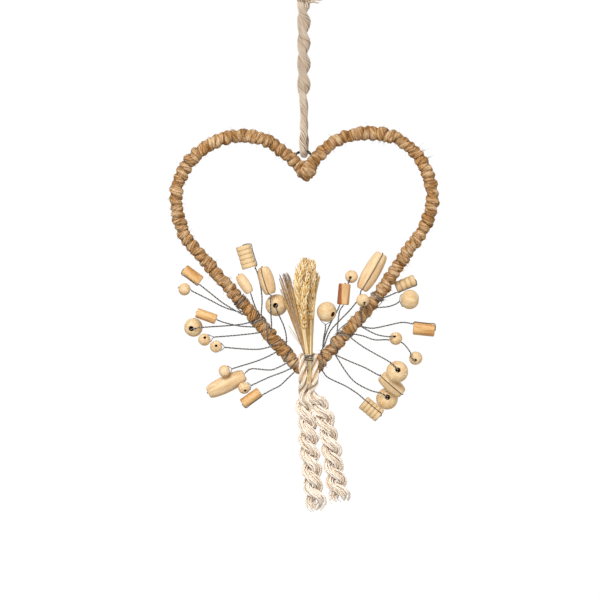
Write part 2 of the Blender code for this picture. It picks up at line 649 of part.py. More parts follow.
def tail_strands(pixels):
    """The two strands of a twisted tail, as the routes from its top down."""
    axis = smooth_route([spot(*pixel) for pixel in pixels], TAIL_TWIST_PITCH / STEPS_A_TURN)
    strands = ([], [])
    for place, point in enumerate(axis):
        angle = math.pi / 2 - 2 * math.pi * place / STEPS_A_TURN
        along = axis[min(place + 1, len(axis) - 1)] - axis[max(place - 1, 0)]
        across = along.cross(Vector((0, 1, 0))).normalized()
        opened = min(1.0, (axis[0] - point).length / TAIL_OPENS_OVER)
        spread = TAIL_TOP_SPREAD + (TAIL_SPREAD - TAIL_TOP_SPREAD) * opened
        offset = across * spread * math.cos(angle) - Vector((0, TAIL_DEPTH, 0)) * math.sin(angle)
        strands[0].append(point + offset)
        strands[1].append(point - offset)
    return strands


def tassel_rope(name, over_u, gathered, tail):
    """One rope laid over the tip, its front and back ends twisted together below it."""
    front_back = TUBE_THICKNESS / 2 + WRAP_RELIEF + TOUCH_GAP + ROPE_THICKNESS / 2
    front, rear = tail_strands(tail)
    across = spot(over_u, ROPE_ACROSS_V)
    bight = []
    for part in range(7):
        angle = math.pi * part / 6
        bight.append(across + Vector((0, -front_back * math.cos(angle), ROPE_RISE * math.sin(angle))))
    leg = spot(over_u, ROPE_LEG_V, -front_back)
    back = spot(over_u, ROPE_LEG_V, front_back)
    first = spot(*gathered, -TAIL_DEPTH - TOUCH_GAP)
    last = spot(*gathered, TAIL_DEPTH + TOUCH_GAP)
    route = [front[0], first, leg, *bight, back, last, rear[0]]
    upper = smooth_route(route, ROPE_THICKNESS * 0.7)
    return cord_tube(name, front[:0:-1] + upper + rear[1:], ROPE_THICKNESS)


# Dried bunch

def spray(name, plant):
    """A stalk that swells into an ear, with a ring for each row of grains, or a flat blade."""
    spacing = GRAIN_PITCH / 2 if plant.ribbed else GRAIN_PITCH * 2
    route = smooth_route([spot(*pixel) for pixel in plant.route], spacing)
    widths = []
    for place in range(len(route)):
        share = place / (len(route) - 1)
        for (start, low), (end, high) in zip(plant.swell, plant.swell[1:]):
            if start <= share <= end:
                width = low + (high - low) * (share - start) / (end - start)
        if plant.ribbed and width > STALK_THICKNESS:
            width *= 0.86 if place % 2 else 1.0
        widths.append(width)
    bm = bmesh.new()
    depths = [max(width * plant.flat, STALK_THICKNESS * 0.4) for width in widths]
    swept(bm, route, widths, depths, EAR_SIDES, Vector((0, 1, 0)))
    return finished(name, bm, "wheat")


def wheat_binding():
    """The ring of wire that holds the stalks together."""
    centre = spot(BINDING_U, BINDING_V, BINDING_BACK)
    angles = [2 * math.pi * step / 10 for step in range(11)]
    bm = bmesh.new()
    loops = []
    for angle in angles[:-1]:
        out = Vector((math.cos(angle), math.sin(angle), 0))
        half = BINDING_WIRE / 2
        loops.append(ring(bm, centre + out * BINDING_RADIUS, out, Vector((0, 0, 1)), half, half * 2, 4))
    for start, end in zip(loops, loops[1:] + loops[:1]):
        bmesh.ops.bridge_loops(bm, edges=start + end)
    return finished("wheat_binding", bm, "stem_wire")


def main():
    for thing in list(bpy.data.objects):
        bpy.data.objects.remove(thing, do_unlink=True)
    jute_heart()
    wire_eye()
    hanging_cord()
    hanging_knot()
    hanging_loop()
    for name, bead in BEADS.items():
        turned_bead(name, bead)
    stem_wires("left", LEFT_STEMS, Limb(**LEFT_LIMB))
    stem_wires("right", RIGHT_STEMS, Limb(**RIGHT_LIMB))
    tassel_rope("tassel_rope_left", ROPE_LEFT_U, ROPE_LEFT_GATHERED, LEFT_TAIL)
    tassel_rope("tassel_rope_right", ROPE_RIGHT_U, ROPE_RIGHT_GATHERED, RIGHT_TAIL)
    for name, plant in SPRAYS.items():
        spray(name, plant)
    wheat_binding()


main()
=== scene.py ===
"""Looks of the beaded heart decoration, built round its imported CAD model."""

import math
import random
from collections import namedtuple

import bmesh
import bpy
import numpy as np
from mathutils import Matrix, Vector, noise


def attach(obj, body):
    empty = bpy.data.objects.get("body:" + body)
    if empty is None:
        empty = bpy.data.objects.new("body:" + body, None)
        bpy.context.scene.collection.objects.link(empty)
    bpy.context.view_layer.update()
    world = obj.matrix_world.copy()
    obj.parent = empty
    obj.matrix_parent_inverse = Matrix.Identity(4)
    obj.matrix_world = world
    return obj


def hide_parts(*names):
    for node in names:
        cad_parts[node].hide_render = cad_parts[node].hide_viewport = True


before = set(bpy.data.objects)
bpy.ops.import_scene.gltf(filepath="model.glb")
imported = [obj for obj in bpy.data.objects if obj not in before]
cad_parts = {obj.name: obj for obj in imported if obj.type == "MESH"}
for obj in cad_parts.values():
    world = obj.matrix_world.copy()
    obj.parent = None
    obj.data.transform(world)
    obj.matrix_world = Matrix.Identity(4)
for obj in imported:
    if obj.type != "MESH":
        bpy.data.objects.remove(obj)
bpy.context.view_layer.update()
draw = random.Random(7)
TURN = 2 * math.pi

# The photograph's frame, as in the part's source
HEART_WIDTH = 0.2014
HEART_WIDTH_PIXELS = 268.6
PIXEL = HEART_WIDTH / HEART_WIDTH_PIXELS
MIDDLE_U = 303.0
NAIL_V = -40.0
PHOTO_PIXELS = 600
CAMERA_DISTANCE = 2.2
SENSOR_WIDTH = 36.0
BACKDROP_BEHIND = 3.6
FLOOR_Z = -1.1

# The hanging cord, as in the part's source
CORD_THICKNESS = 0.0053
CORD_TWIST_RADIUS = 0.0029
CORD_TWIST_PITCH = 0.0310
CORD_LEADS = (0.0160, 0.0280)
CORD_U = 303.3
CORD_STRAIGHT_V = 95.0
KNOT_V = -4.0
KNOT_HALF_WIDTH = 0.0062
KNOT_HALF_HEIGHT = 0.0058
LOOP_HALF_WIDTH = 0.0062
EYE_TOP = (304.0, 147.8)
EYE_WIRE = 0.0013
EYE_ROOM = 0.0015
TOUCH_GAP = 0.0003
STEPS_A_TURN = 8
# The straight strands below the twist: how far down and how far aside, in metres
CORD_LEAD_SWAYS = [(CORD_LEADS[0] / 2, -0.0006), (CORD_LEADS[0], 0.0001), (0.0220, -0.0005),
                   (CORD_LEADS[1], -0.0001), (0.0340, -0.0011)]
CORD_TURN_TILT = 0.0006
CORD_STEP = 0.0009

# The tassel ropes, after the part's source but with closer legs and longer tails
TUBE_THICKNESS = 0.0096
WRAP_RELIEF = 0.0005
ROPE_THICKNESS = 0.0058
ROPE_RISE = 0.0103
TAIL_SPREAD = 0.0042
TAIL_TOP_SPREAD = 0.0032
TAIL_DEPTH = 0.0034
TAIL_OPENS_OVER = 0.0200
TAIL_TWIST_PITCH = 0.0236
ROPE_LEFT_U = 302.9
ROPE_RIGHT_U = 314.4
ROPE_ACROSS_V = 370.0
ROPE_LEG_V = 381.0
ROPE_LEFT_GATHERED = (302.6, 391.0)
ROPE_RIGHT_GATHERED = (310.0, 391.0)
LEFT_TAIL = [(303.6, 399.0), (305.0, 409.0), (307.3, 422.0), (308.3, 438.0), (310.0, 453.0),
             (311.8, 472.0), (313.8, 490.0), (317.0, 509.5)]
RIGHT_TAIL = [(314.6, 398.4), (320.1, 407.8), (325.8, 421.0), (329.0, 437.0), (331.8, 454.0),
              (334.6, 472.0), (338.2, 489.0), (340.0, 500.5)]

# The heart's centre line, in pixels of the photograph, from the cleft round each lobe to the tip
CLEFT = (305.0, 173.0)
TIP = (308.5, 375.0)
LEFT_LOBE = [
    (289.0, 156.4), (266.0, 140.5), (240.0, 135.6), (212.0, 143.5), (190.5, 160.5), (178.0, 184.0),
    (176.3, 205.0), (183.7, 234.0), (196.0, 250.0), (224.5, 282.8), (256.6, 319.6), (288.2, 355.9),
]
RIGHT_LOBE = [
    (319.5, 154.5), (338.0, 139.8), (362.0, 133.5), (386.0, 134.8), (405.0, 143.5), (422.0, 161.7),
    (431.3, 187.0), (430.8, 211.0), (419.6, 235.8), (409.0, 249.0), (377.4, 296.6), (350.6, 328.0),
    (327.7, 353.5),
]

# Where the wire eye stands on the two lobes, and the arch that it makes between them
EYE_LEFT = (291.5, 158.3)
EYE_RIGHT = (316.0, 158.3)
EYE_ARCH = [(300.2, 151.9), (304.0, 149.6), (308.2, 151.9)]

# One bead: form, middle in pixels, distance behind the heart's plane, length and width, and its
# bore: either the slope of a bore that lies in the picture, or the pixel of a hole that faces us
Bead = namedtuple("Bead", "form u v back length width slope hole", defaults=(None, None))
BEADS = {
    "bead_left_ribbed": Bead("ribbed", 246.4, 256.8, -0.006, 0.0172, 0.0114, slope=107),
    "bead_left_short_oval": Bead("oval", 244.7, 283.8, -0.011, 0.0158, 0.0082, slope=122.6),
    "bead_left_barrel": Bead("oval", 266.9, 280.7, -0.009, 0.0210, 0.0112, slope=106.7),
    "bead_left_ball_inside": Bead("ball", 276.5, 305.2, -0.001, 0.0158, 0.0165, hole=(275.4, 305.6)),
    "bead_left_cylinder_top": Bead("cylinder", 192.8, 275.2, -0.006, 0.0153, 0.0079, slope=-36.6),
    "bead_left_ball_top": Bead("ball", 185.0, 289.3, -0.010, 0.0090, 0.0094, slope=-12),
    "bead_left_cylinder_middle": Bead("cylinder", 206.8, 316.0, -0.0115, 0.0155, 0.0075, slope=-19.5),
    "bead_left_ball_outer": Bead("ball", 193.4, 327.4, 0.001, 0.0134, 0.0140, hole=(191.1, 328.9)),
    "bead_left_ball_middle": Bead("ball", 204.7, 339.5, -0.006, 0.0088, 0.0092, hole=(205.3, 337.2)),
    "bead_left_ball_low": Bead("ball", 216.2, 346.4, -0.007, 0.0088, 0.0092, hole=(216.6, 345.5)),
    "bead_left_ball_over_oval": Bead("ball", 224.7, 370.8, -0.010, 0.0086, 0.0090, slope=18),
    "bead_left_long_oval": Bead("oval", 226.5, 383.8, -0.0025, 0.0306, 0.0131, slope=26.3),
    "bead_left_ball_bottom": Bead("ball", 244.4, 387.6, -0.009, 0.0086, 0.0090, hole=(245.7, 390.6)),
    "bead_left_cylinder_bottom": Bead("cylinder", 251.4, 397.1, -0.013, 0.0158, 0.0075, slope=35.6),
    "bead_right_ball_inside": Bead("ball", 326.6, 311.8, -0.0065, 0.0146, 0.0150, hole=(333.6, 314.7)),
    "bead_right_cylinder_inside": Bead("cylinder", 343.7, 294.2, -0.0105, 0.0158, 0.0090, slope=85),
    "bead_right_ball_behind": Bead("ball", 351.4, 276.6, -0.006, 0.0092, 0.0096, hole=(350.0, 277.9)),
    "bead_right_long_oval": Bead("oval", 371.8, 271.7, -0.002, 0.0312, 0.0129, slope=60),
    "bead_right_ball_on_tube": Bead("ball", 362.3, 300.3, -0.0125, 0.0093, 0.0097, hole=(364.3, 303.1)),
    "bead_right_ribbed_top": Bead("ribbed", 405.8, 283.7, 0.0075, 0.0156, 0.0090, slope=22.6),
    "bead_right_ball_top": Bead("ball", 409.5, 299.5, -0.007, 0.0140, 0.0146, slope=-8),
    "bead_right_cylinder_outer": Bead("cylinder", 423.6, 329.3, -0.006, 0.0161, 0.0094, slope=-6),
    "bead_right_ball_middle": Bead("ball", 395.4, 338.4, -0.007, 0.0093, 0.0097, hole=(394.2, 336.0)),
    "bead_right_ball_outer": Bead("ball", 415.3, 358.0, -0.007, 0.0097, 0.0101, hole=(414.7, 360.2)),
    "bead_right_disc_front": Bead("ball", 396.5, 371.2, -0.015, 0.0125, 0.0165, hole=(397.2, 368.6)),
    "bead_right_oval": Bead("oval", 391.6, 384.4, -0.004, 0.0211, 0.0116, slope=-41),
    "bead_right_disc_back": Bead("ball", 387.2, 399.0, 0.0065, 0.0125, 0.0165, hole=(388.0, 396.6)),
    "bead_right_ribbed_bottom": Bead("ribbed", 371.4, 409.0, -0.003, 0.0162, 0.0112, slope=-40),
}
FACING_OUT = 0.35

# The stem of each bead in pixels, from the bead to where it joins the winding on the heart.
# A third number is how far behind the heart's plane the wire runs there, in metres
LEFT_STEMS = {
    "bead_left_ribbed": [(257.5, 273.0), (260.8, 287.0), (262.1, 300.0), (261.2, 315.0)],
    "bead_left_short_oval": [(253.7, 302.3), (257.0, 311.0), (258.5, 318.0)],
    "bead_left_barrel": [(270.8, 300.0, -0.0115), (270.9, 312.0, -0.0115), (271.6, 325.7),
                         (270.5, 332.0)],
    "bead_left_ball_inside": [(277.6, 312.0, -0.0105), (283.7, 325.7), (286.3, 336.0), (286.4, 345.5)],
    "bead_left_cylinder_top": [(210.2, 292.8), (221.7, 302.0), (233.1, 309.2), (243.0, 314.8)],
    "bead_left_ball_top": [(210.2, 300.0), (225.0, 307.5), (240.0, 313.6)],
    "bead_left_cylinder_middle": [(225.0, 322.6), (240.0, 326.0), (254.5, 327.0)],
    "bead_left_ball_outer": [(204.1, 327.2, -0.0085), (227.0, 325.7), (243.2, 323.9), (253.0, 321.4)],
    "bead_left_ball_middle": [(213.9, 337.0), (232.1, 335.6), (249.6, 333.9), (260.8, 332.4)],
    "bead_left_ball_low": [(225.1, 347.2), (245.0, 348.9), (260.2, 349.0), (272.6, 346.0)],
    "bead_left_ball_over_oval": [(242.8, 365.3), (256.6, 361.0), (268.0, 356.3), (277.2, 351.5)],
    "bead_left_long_oval": [(252.0, 368.7), (269.6, 369.9), (277.6, 367.6), (287.0, 362.8)],
    "bead_left_ball_bottom": [(251.2, 384.8, -0.0130), (269.6, 376.8), (282.2, 372.2), (292.5, 367.5)],
    "bead_left_cylinder_bottom": [(271.9, 389.4), (279.9, 385.4), (286.8, 379.1), (295.0, 371.3)],
}
RIGHT_STEMS = {
    "bead_right_ball_inside": [(325.2, 330.0), (323.6, 338.0), (322.3, 348.5)],
    "bead_right_cylinder_inside": [(339.5, 311.0), (338.0, 321.0), (337.0, 333.0)],
    "bead_right_ball_behind": [(345.0, 292.0, -0.0010), (338.0, 309.0, -0.0005), (330.6, 323.0, -0.0010),
                               (325.2, 336.0, -0.0020), (322.0, 348.0)],
    "bead_right_long_oval": [(358.5, 299.0, -0.0025), (349.0, 311.0), (340.5, 319.7), (330.0, 331.5),
                             (322.5, 346.5)],
    "bead_right_ball_on_tube": [(361.0, 311.0, -0.0140), (361.4, 319.0), (361.6, 325.5)],
    "bead_right_ribbed_top": [(391.5, 294.8, 0.0010), (386.6, 296.8), (382.0, 298.5)],
    "bead_right_ball_top": [(395.5, 304.0), (387.9, 306.6), (376.2, 307.6)],
    "bead_right_cylinder_outer": [(404.7, 322.4), (398.7, 322.8), (385.4, 325.8), (372.1, 328.2),
                                  (361.2, 326.6)],
    "bead_right_ball_middle": [(388.1, 336.4, -0.0125), (378.2, 334.9), (370.8, 331.9), (361.4, 326.8)],
    "bead_right_ball_outer": [(410.4, 357.0, -0.0135), (409.4, 351.4, -0.0125), (401.0, 342.0, -0.0015),
                              (387.8, 339.8, -0.0015), (374.5, 339.7), (363.6, 336.1), (353.9, 333.9)],
    "bead_right_disc_front": [(389.5, 361.8, -0.0200), (375.0, 353.6), (362.1, 346.1), (351.3, 338.2)],
    "bead_right_oval": [(378.1, 374.8), (364.8, 367.6), (350.3, 361.5), (338.4, 357.4)],
    "bead_right_disc_back": [(381.0, 393.2, -0.0030), (369.6, 390.0), (355.1, 382.1), (346.0, 371.8),
                             (338.4, 357.8)],
    "bead_right_ribbed_bottom": [(357.5, 393.6), (346.0, 386.2), (334.0, 380.6), (326.5, 376.3),
                                 (322.6, 370.6)],
}

# Each straight limb of the heart in pixels, and each crossing of the winding over its front from
# below: how many metres down the limb it starts at the outer side and ends at the inner one
LEFT_LIMB = dict(start=LEFT_LOBE[9], end=LEFT_LOBE[11], inner_side=1,
                 crossings=[(0.0810, 0.0795), (0.0743, 0.0700), (0.0583, 0.0616), (0.0595, 0.0390),
                            (0.0364, 0.0415), (0.0350, 0.0400), (0.0203, 0.0190), (0.0177, 0.0164)])
RIGHT_LIMB = dict(start=RIGHT_LOBE[10], end=RIGHT_LOBE[12], inner_side=-1,
                  crossings=[(0.0690, 0.0570), (0.0519, 0.0460), (0.0330, 0.0425), (0.0350, 0.0395),
                             (0.0012, 0.0012), (-0.0004, -0.0004)])

# The dried bunch: middle line in pixels with the depth behind the plane, and half widths there
Spray = namedtuple("Spray", "route swell flat ribbed")
SPRAYS = {
    "wheat_ear_left": Spray(
        [(307.4, 362.0, -0.0122), (304.5, 340.0, -0.0120), (300.6, 310.0, -0.0115),
         (299.2, 283.0, -0.0120), (302.2, 270.0, -0.0125), (306.2, 259.5, -0.0130)],
        [(0.0, 0.0007), (0.42, 0.0010), (0.46, 0.0020), (0.56, 0.0042), (0.78, 0.0053), (0.93, 0.0040),
         (1.0, 0.0014)], 0.75, True),
    "wheat_ear_front": Spray(
        [(309.0, 362.0, -0.0136), (306.6, 345.0, -0.0155), (304.3, 325.0, -0.0200),
         (304.0, 302.0, -0.0205), (306.6, 285.0, -0.0200), (308.8, 270.5, -0.0190)],
        [(0.0, 0.0007), (0.30, 0.0010), (0.40, 0.0026), (0.80, 0.0034), (1.0, 0.0012)], 0.85, True),
    "wheat_ear_right": Spray(
        [(310.4, 362.0, -0.0122), (310.6, 340.0, -0.0120), (311.2, 312.0, -0.0118),
         (311.4, 290.0, -0.0120), (311.6, 272.0, -0.0125), (311.9, 260.0, -0.0130)],
        [(0.0, 0.0007), (0.36, 0.0010), (0.44, 0.0028), (0.80, 0.0041), (0.94, 0.0032),
         (1.0, 0.0013)], 0.85, True),
    "wheat_leaf": Spray(
        [(311.0, 353.0, -0.0098), (312.8, 330.0, -0.0076), (315.0, 305.0, -0.0065), (318.4, 275.0, -0.0070)],
        [(0.0, 0.0006), (0.35, 0.0010), (0.8, 0.0020), (1.0, 0.0014)], 0.30, False),
    "grass_plume": Spray(
        [(306.6, 353.0, -0.0098), (301.0, 338.0, -0.0078), (294.0, 315.0, -0.0060), (284.5, 276.0, -0.0065)],
        [(0.0, 0.0007), (0.2, 0.0015), (0.65, 0.0032), (1.0, 0.0036)], 0.40, False),
}
BINDING_V = 358.0
BINDING_BACK = -0.0127
BINDING_U = 309.0
BINDING_RADIUS = 0.0030

# The thickness of the wires, the stalks and the bores of the beads
STEM_WIRE = 0.0010
BINDING_WIRE = 0.0008
WIRE_PAST_BEAD = 0.0008
STALK_THICKNESS = 0.0013
SMALL_BORE = 0.0019
LARGE_BORE = 0.0036

# Finer forms of the looks
TWINE_STEPS = 26
TWINE_SIDES = 26
TWINE_RIDGES = 11
TWINE_LAY = 0.0300
TWINE_PITCH = 0.0054
TWINE_HALF_HEIGHT = 0.0021
WRAP_RADIUS = 0.0051
CORE_RADIUS = 0.0038
CORE_STEP = 0.0025
CORNER_REACH = 0.0060
CLEFT_TURNS = 3.6
CLEFT_FROM = (312.6, 166.0)
CLEFT_TO = (301.6, 176.8)
LOOSE_FIBRES = 700
FIBRE_REACH = 0.0030
FIBRE_THICKNESS = (0.00009, 0.00004)
TUFTS = [((426.0, 149.0), 40, 0.0045), ((314.0, 168.0), 14, 0.0035), ((382.0, 142.0), 14, 0.0035)]
# The number of ribs of a ribbed bead and how deep they are cut, as a share of its half width
RIBS = {"bead_left_ribbed": (5, 0.06), "bead_right_ribbed_top": (4, 0.13),
        "bead_right_ribbed_bottom": (5, 0.08)}
BORE_WAIST = 0.12
BEAD_SIDES = 44
WINDING_STEPS = 12
WIRE_OVER_WRAP = 0.0003
STALK_BELOW = 0.0170
FANS_BACK = -0.0098
GRAIN_STEP = 0.0026
EAR_WIDER = 1.18
# The husks of every other row of an ear: how far to the side and how far behind its middle
HUSKS = [[(-0.55, -0.62), (0.55, -0.62), (-1.0, -0.1), (1.0, -0.1), (0.0, 0.55)],
         [(0.0, -0.75), (-0.95, -0.35), (0.95, -0.35), (-0.5, 0.5), (0.5, 0.5)]]
# The angle at which a wire comes back over its bead: 0 in front, 180 behind
OVER_BEAD = {"bead_left_barrel": -20, "bead_right_long_oval": 5, "bead_right_oval": 8,
             "bead_right_ribbed_bottom": -23, "bead_left_ribbed": 85, "bead_right_cylinder_outer": -80,
             "bead_left_cylinder_top": -80, "bead_left_cylinder_bottom": -80, "bead_right_ribbed_top": 60}
# Where a stem parts into two single wires that go round behind a ball, in pixels
FORKS = {
    "bead_left_ball_middle": (213.9, 337.0), "bead_left_ball_low": (225.1, 347.2),
    "bead_left_ball_over_oval": (232.3, 368.5), "bead_left_ball_bottom": (251.2, 385.2),
    "bead_right_ball_inside": (325.4, 324.7), "bead_right_ball_top": (399.4, 301.1),
}
FORK_CLEAR = 3.0
# Where a stem leaves its bead at a corner, in pixels
CORNERS = {
    "bead_left_ribbed": (255.0, 267.4), "bead_left_cylinder_top": (199.6, 284.4),
    "bead_left_cylinder_bottom": (262.4, 394.6), "bead_left_long_oval": (245.6, 372.4),
    "bead_right_cylinder_outer": (412.8, 323.8), "bead_right_ribbed_top": (396.5, 292.6),
    "bead_right_ribbed_bottom": (364.2, 399.3),
}

# Yarn of the cords and ropes
CORD_DRAWN_IN = 0.83
CORD_DRAWN = 0.0056
CORD_INTO_KNOT = 0.0030
CORD_SWAY = 0.0010
CORD_LAY = -0.0200
CORD_YARNS = 8
ROPE_DRAWN = 0.0067
ROPE_LAY = 0.0250
TAIL_LAY = 0.0600
TAIL_WAVE = 0.00060
ROPE_TIGHT_OVER = 0.0300
ROPE_PLIES = 3
PLY_YARNS = 7
FRAYED_OVER = 0.0160
FRAYED_STEPS = 9
ROPE_REACH = 0.0041


def spot(u, v, back=0.0):
    """The place of a pixel of the photograph, back metres behind the plane of the heart."""
    return Vector(((u - MIDDLE_U) * PIXEL, back, (NAIL_V - v) * PIXEL))


def linear(code):
    """A colour written as six hex digits, in linear light."""
    parts = [int(code[place:place + 2], 16) / 255 for place in (0, 2, 4)]
    return (*(part / 12.92 if part <= 0.04045 else ((part + 0.055) / 1.055) ** 2.4 for part in parts), 1.0)


# Materials

class Value:
    """A number, vector or colour socket of a material, with arithmetic that adds nodes."""

    def __init__(self, shader, socket):
        self.shader = shader
        self.socket = socket

    def combined(self, operation, *others, swapped=False):
        terms = (others[0], self, *others[1:]) if swapped else (self, *others)
        if self.socket.type == "VECTOR":
            return self.shader.add("VectorMath", dict(enumerate(terms)), operation=operation)
        return self.shader.add("Math", dict(enumerate(terms)), operation=operation)

    def __add__(self, other):
        return self.combined("ADD", other)

    def __sub__(self, other):
        return self.combined("SUBTRACT", other)

    def __mul__(self, other):
        return self.combined("MULTIPLY", other)

    def __truediv__(self, other):
        return self.combined("DIVIDE", other)

    def __rsub__(self, other):
        return self.combined("SUBTRACT", other, swapped=True)

    def __rtruediv__(self, other):
        return self.combined("DIVIDE", other, swapped=True)

    __radd__ = __add__
    __rmul__ = __mul__

    def between(self, low, high):
        """0 where the value is low or less, 1 where it is high or more."""
        names = {"Value": self, "From Min": low, "From Max": high}
        return self.shader.add("MapRange", names, interpolation_type="SMOOTHSTEP")


class Shader:
    """One material, with short ways to add nodes to it."""

    def __init__(self, name, constants):
        self.material = bpy.data.materials.new(name)
        self.material.use_nodes = True
        self.tree = self.material.node_tree
        self.surface = self.tree.nodes["Principled BSDF"]
        for socket, value in constants.items():
            self.surface.inputs[socket].default_value = value

    def add(self, kind, inputs=None, output=0, **settings):
        """A new node with its settings and inputs, as the value of one of its outputs."""
        node = self.tree.nodes.new("ShaderNode" + kind)
        for name, setting in settings.items():
            setattr(node, name, setting)
        for socket, value in (inputs or {}).items():
            self.join(node.inputs[socket], value)
        return Value(self, node.outputs[output])

    def join(self, socket, value):
        if isinstance(value, Value):
            self.tree.links.new(value.socket, socket)
        elif socket.type == "VECTOR" and isinstance(value, (int, float)):
            socket.default_value = (value, value, value)
        else:
            socket.default_value = value

    def vector(self, name):
        """A vector stored at each vertex."""
        return self.add("Attribute", output="Vector", attribute_name=name)

    def number(self, name):
        """A number stored at each vertex."""
        return self.add("Attribute", output="Fac", attribute_name=name)

    def place(self):
        return self.add("TexCoord", output="Object")

    def clouds(self, vector, scale, detail=3.0, roughness=0.5):
        """Noise from 0 to 1."""
        names = {"Vector": vector, "Scale": scale, "Detail": detail, "Roughness": roughness}
        return self.add("TexNoise", names, output="Fac")

    def blend(self, share, low, high, blend_type="MIX"):
        """A mix of two colours."""
        made = self.tree.nodes.new("ShaderNodeMix")
        made.data_type = "RGBA"
        made.blend_type = blend_type
        for socket, value in ((made.inputs[0], share), (made.inputs[6], low), (made.inputs[7], high)):
            self.join(socket, value)
        return Value(self, made.outputs[2])

    def colour(self, value):
        self.join(self.surface.inputs["Base Color"], value)

    def roughness(self, value):
        self.join(self.surface.inputs["Roughness"], value)

    def bump(self, height, distance, strength=1.0):
        names = {"Height": height, "Distance": distance, "Strength": strength}
        self.join(self.surface.inputs["Normal"], self.add("Bump", names, output="Normal"))


def strand_cotton(name, pale, shaded, gap_shade):
    """Loosely spun cotton: fine fibres run along each yarn, with painted warm shade between the yarns."""
    shader = Shader(name, {"Roughness": 0.95, "Specular IOR Level": 0.08})
    strand = shader.vector("strand")
    tone = shader.number("tone")
    fibres = shader.clouds(strand * (700.0, 2.6, 2.6), 1.0, 4.0, 0.6)
    fine = shader.clouds(strand * (1800.0, 7.0, 7.0), 1.0, 2.0)
    patches = shader.clouds(shader.place(), 240.0, 2.0)
    mixed = (fibres * 0.35 + fine * 0.15 + patches * 0.15 + (1.0 - tone) * 0.35).between(0.30, 0.66)
    surface = shader.blend(mixed, linear(shaded), linear(pale))
    # Painted shade: the darkest colour is laid where the yarns lie low, in towards the strand's core.
    shader.colour(shader.blend(shader.number("raised").between(0.15, 0.85), linear(gap_shade), surface))
    shader.bump(fibres + fine * 0.5, 0.0004, 0.6)
    return shader.material


# Skins through rings of places

def even_steps(points, spacing):
    """The same line with points at even steps of about the given spacing."""
    points = np.array([tuple(point) for point in points])
    reached = np.concatenate([[0.0], np.cumsum(np.linalg.norm(np.diff(points, axis=0), axis=1))])
    count = max(2, round(reached[-1] / spacing))
    wanted = np.linspace(0.0, reached[-1], count + 1)
    return np.stack([np.interp(wanted, reached, points[:, axis]) for axis in range(3)], axis=1)


def smooth_route(points, spacing, fine_steps=12):
    """A smooth curve through the points, read at even steps of about the given spacing."""
    points = [np.array(tuple(point), dtype=float) for point in points]
    framed = [2 * points[0] - points[1], *points, 2 * points[-1] - points[-2]]
    dense = []
    for before, start, end, after in zip(framed, framed[1:], framed[2:], framed[3:]):
        for step in range(fine_steps):
            t = step / fine_steps
            bend = 2 * before - 5 * start + 4 * end - after
            twist = 3 * start - before - 3 * end + after
            dense.append(0.5 * (2 * start + (end - before) * t + bend * t ** 2 + twist * t ** 3))
    dense.append(points[-1])
    return even_steps(dense, spacing)


def unit(vectors):
    """The vectors of an array, each made one long."""
    return vectors / np.maximum(np.linalg.norm(vectors, axis=-1, keepdims=True), 1e-12)


def reached_along(points):
    """How far along the line each of its points is."""
    steps = np.linalg.norm(np.diff(points, axis=0), axis=1)
    return np.concatenate([[0.0], np.cumsum(steps)])


def carried_frames(points):
    """The directions across and deep at each point, square to the line and without a twist."""
    along = unit(np.gradient(points, axis=0))
    across = np.zeros_like(points)
    start = np.array(tuple(Vector(along[0]).orthogonal().normalized()))
    for place, direction in enumerate(along):
        start = start - direction * start.dot(direction)
        start /= np.linalg.norm(start)
        across[place] = start
    return across, np.cross(along, across)


def wobble(along, frequency, seed, size=1.0):
    """A smooth random number at each distance along a line."""
    return np.array([size * noise.noise(Vector((place * frequency, seed, 0.5))) for place in along])


def helix(points, radius, lay, start, loose=0.0, seed=0.0):
    """A line that runs round another at the given radius, once for each lay along it."""
    across, deep = carried_frames(points)
    along = reached_along(points)
    angle = start + TURN * np.cumsum(np.gradient(along) / lay)
    radius = radius + np.zeros(len(points))
    if loose:
        angle = angle + wobble(along, 160.0, seed, 1.4 * loose)
        radius = radius * (1 + wobble(along, 220.0, seed + 9.3, loose))
    return points + radius[:, None] * (np.cos(angle)[:, None] * across + np.sin(angle)[:, None] * deep)


def out_from(line, low, high, least=None):
    """How far out the places of a skin are from the line that its strand is laid round, from 0 to 1.

    least is the least it is given at each place of the line.
    """
    least = np.zeros(len(line)) if least is None else least

    def measured(rings):
        out = np.linalg.norm(rings - line[:len(rings), None], axis=2)
        return np.clip((out - low) / (high - low), least[:len(rings), None], 1.0)
    return measured


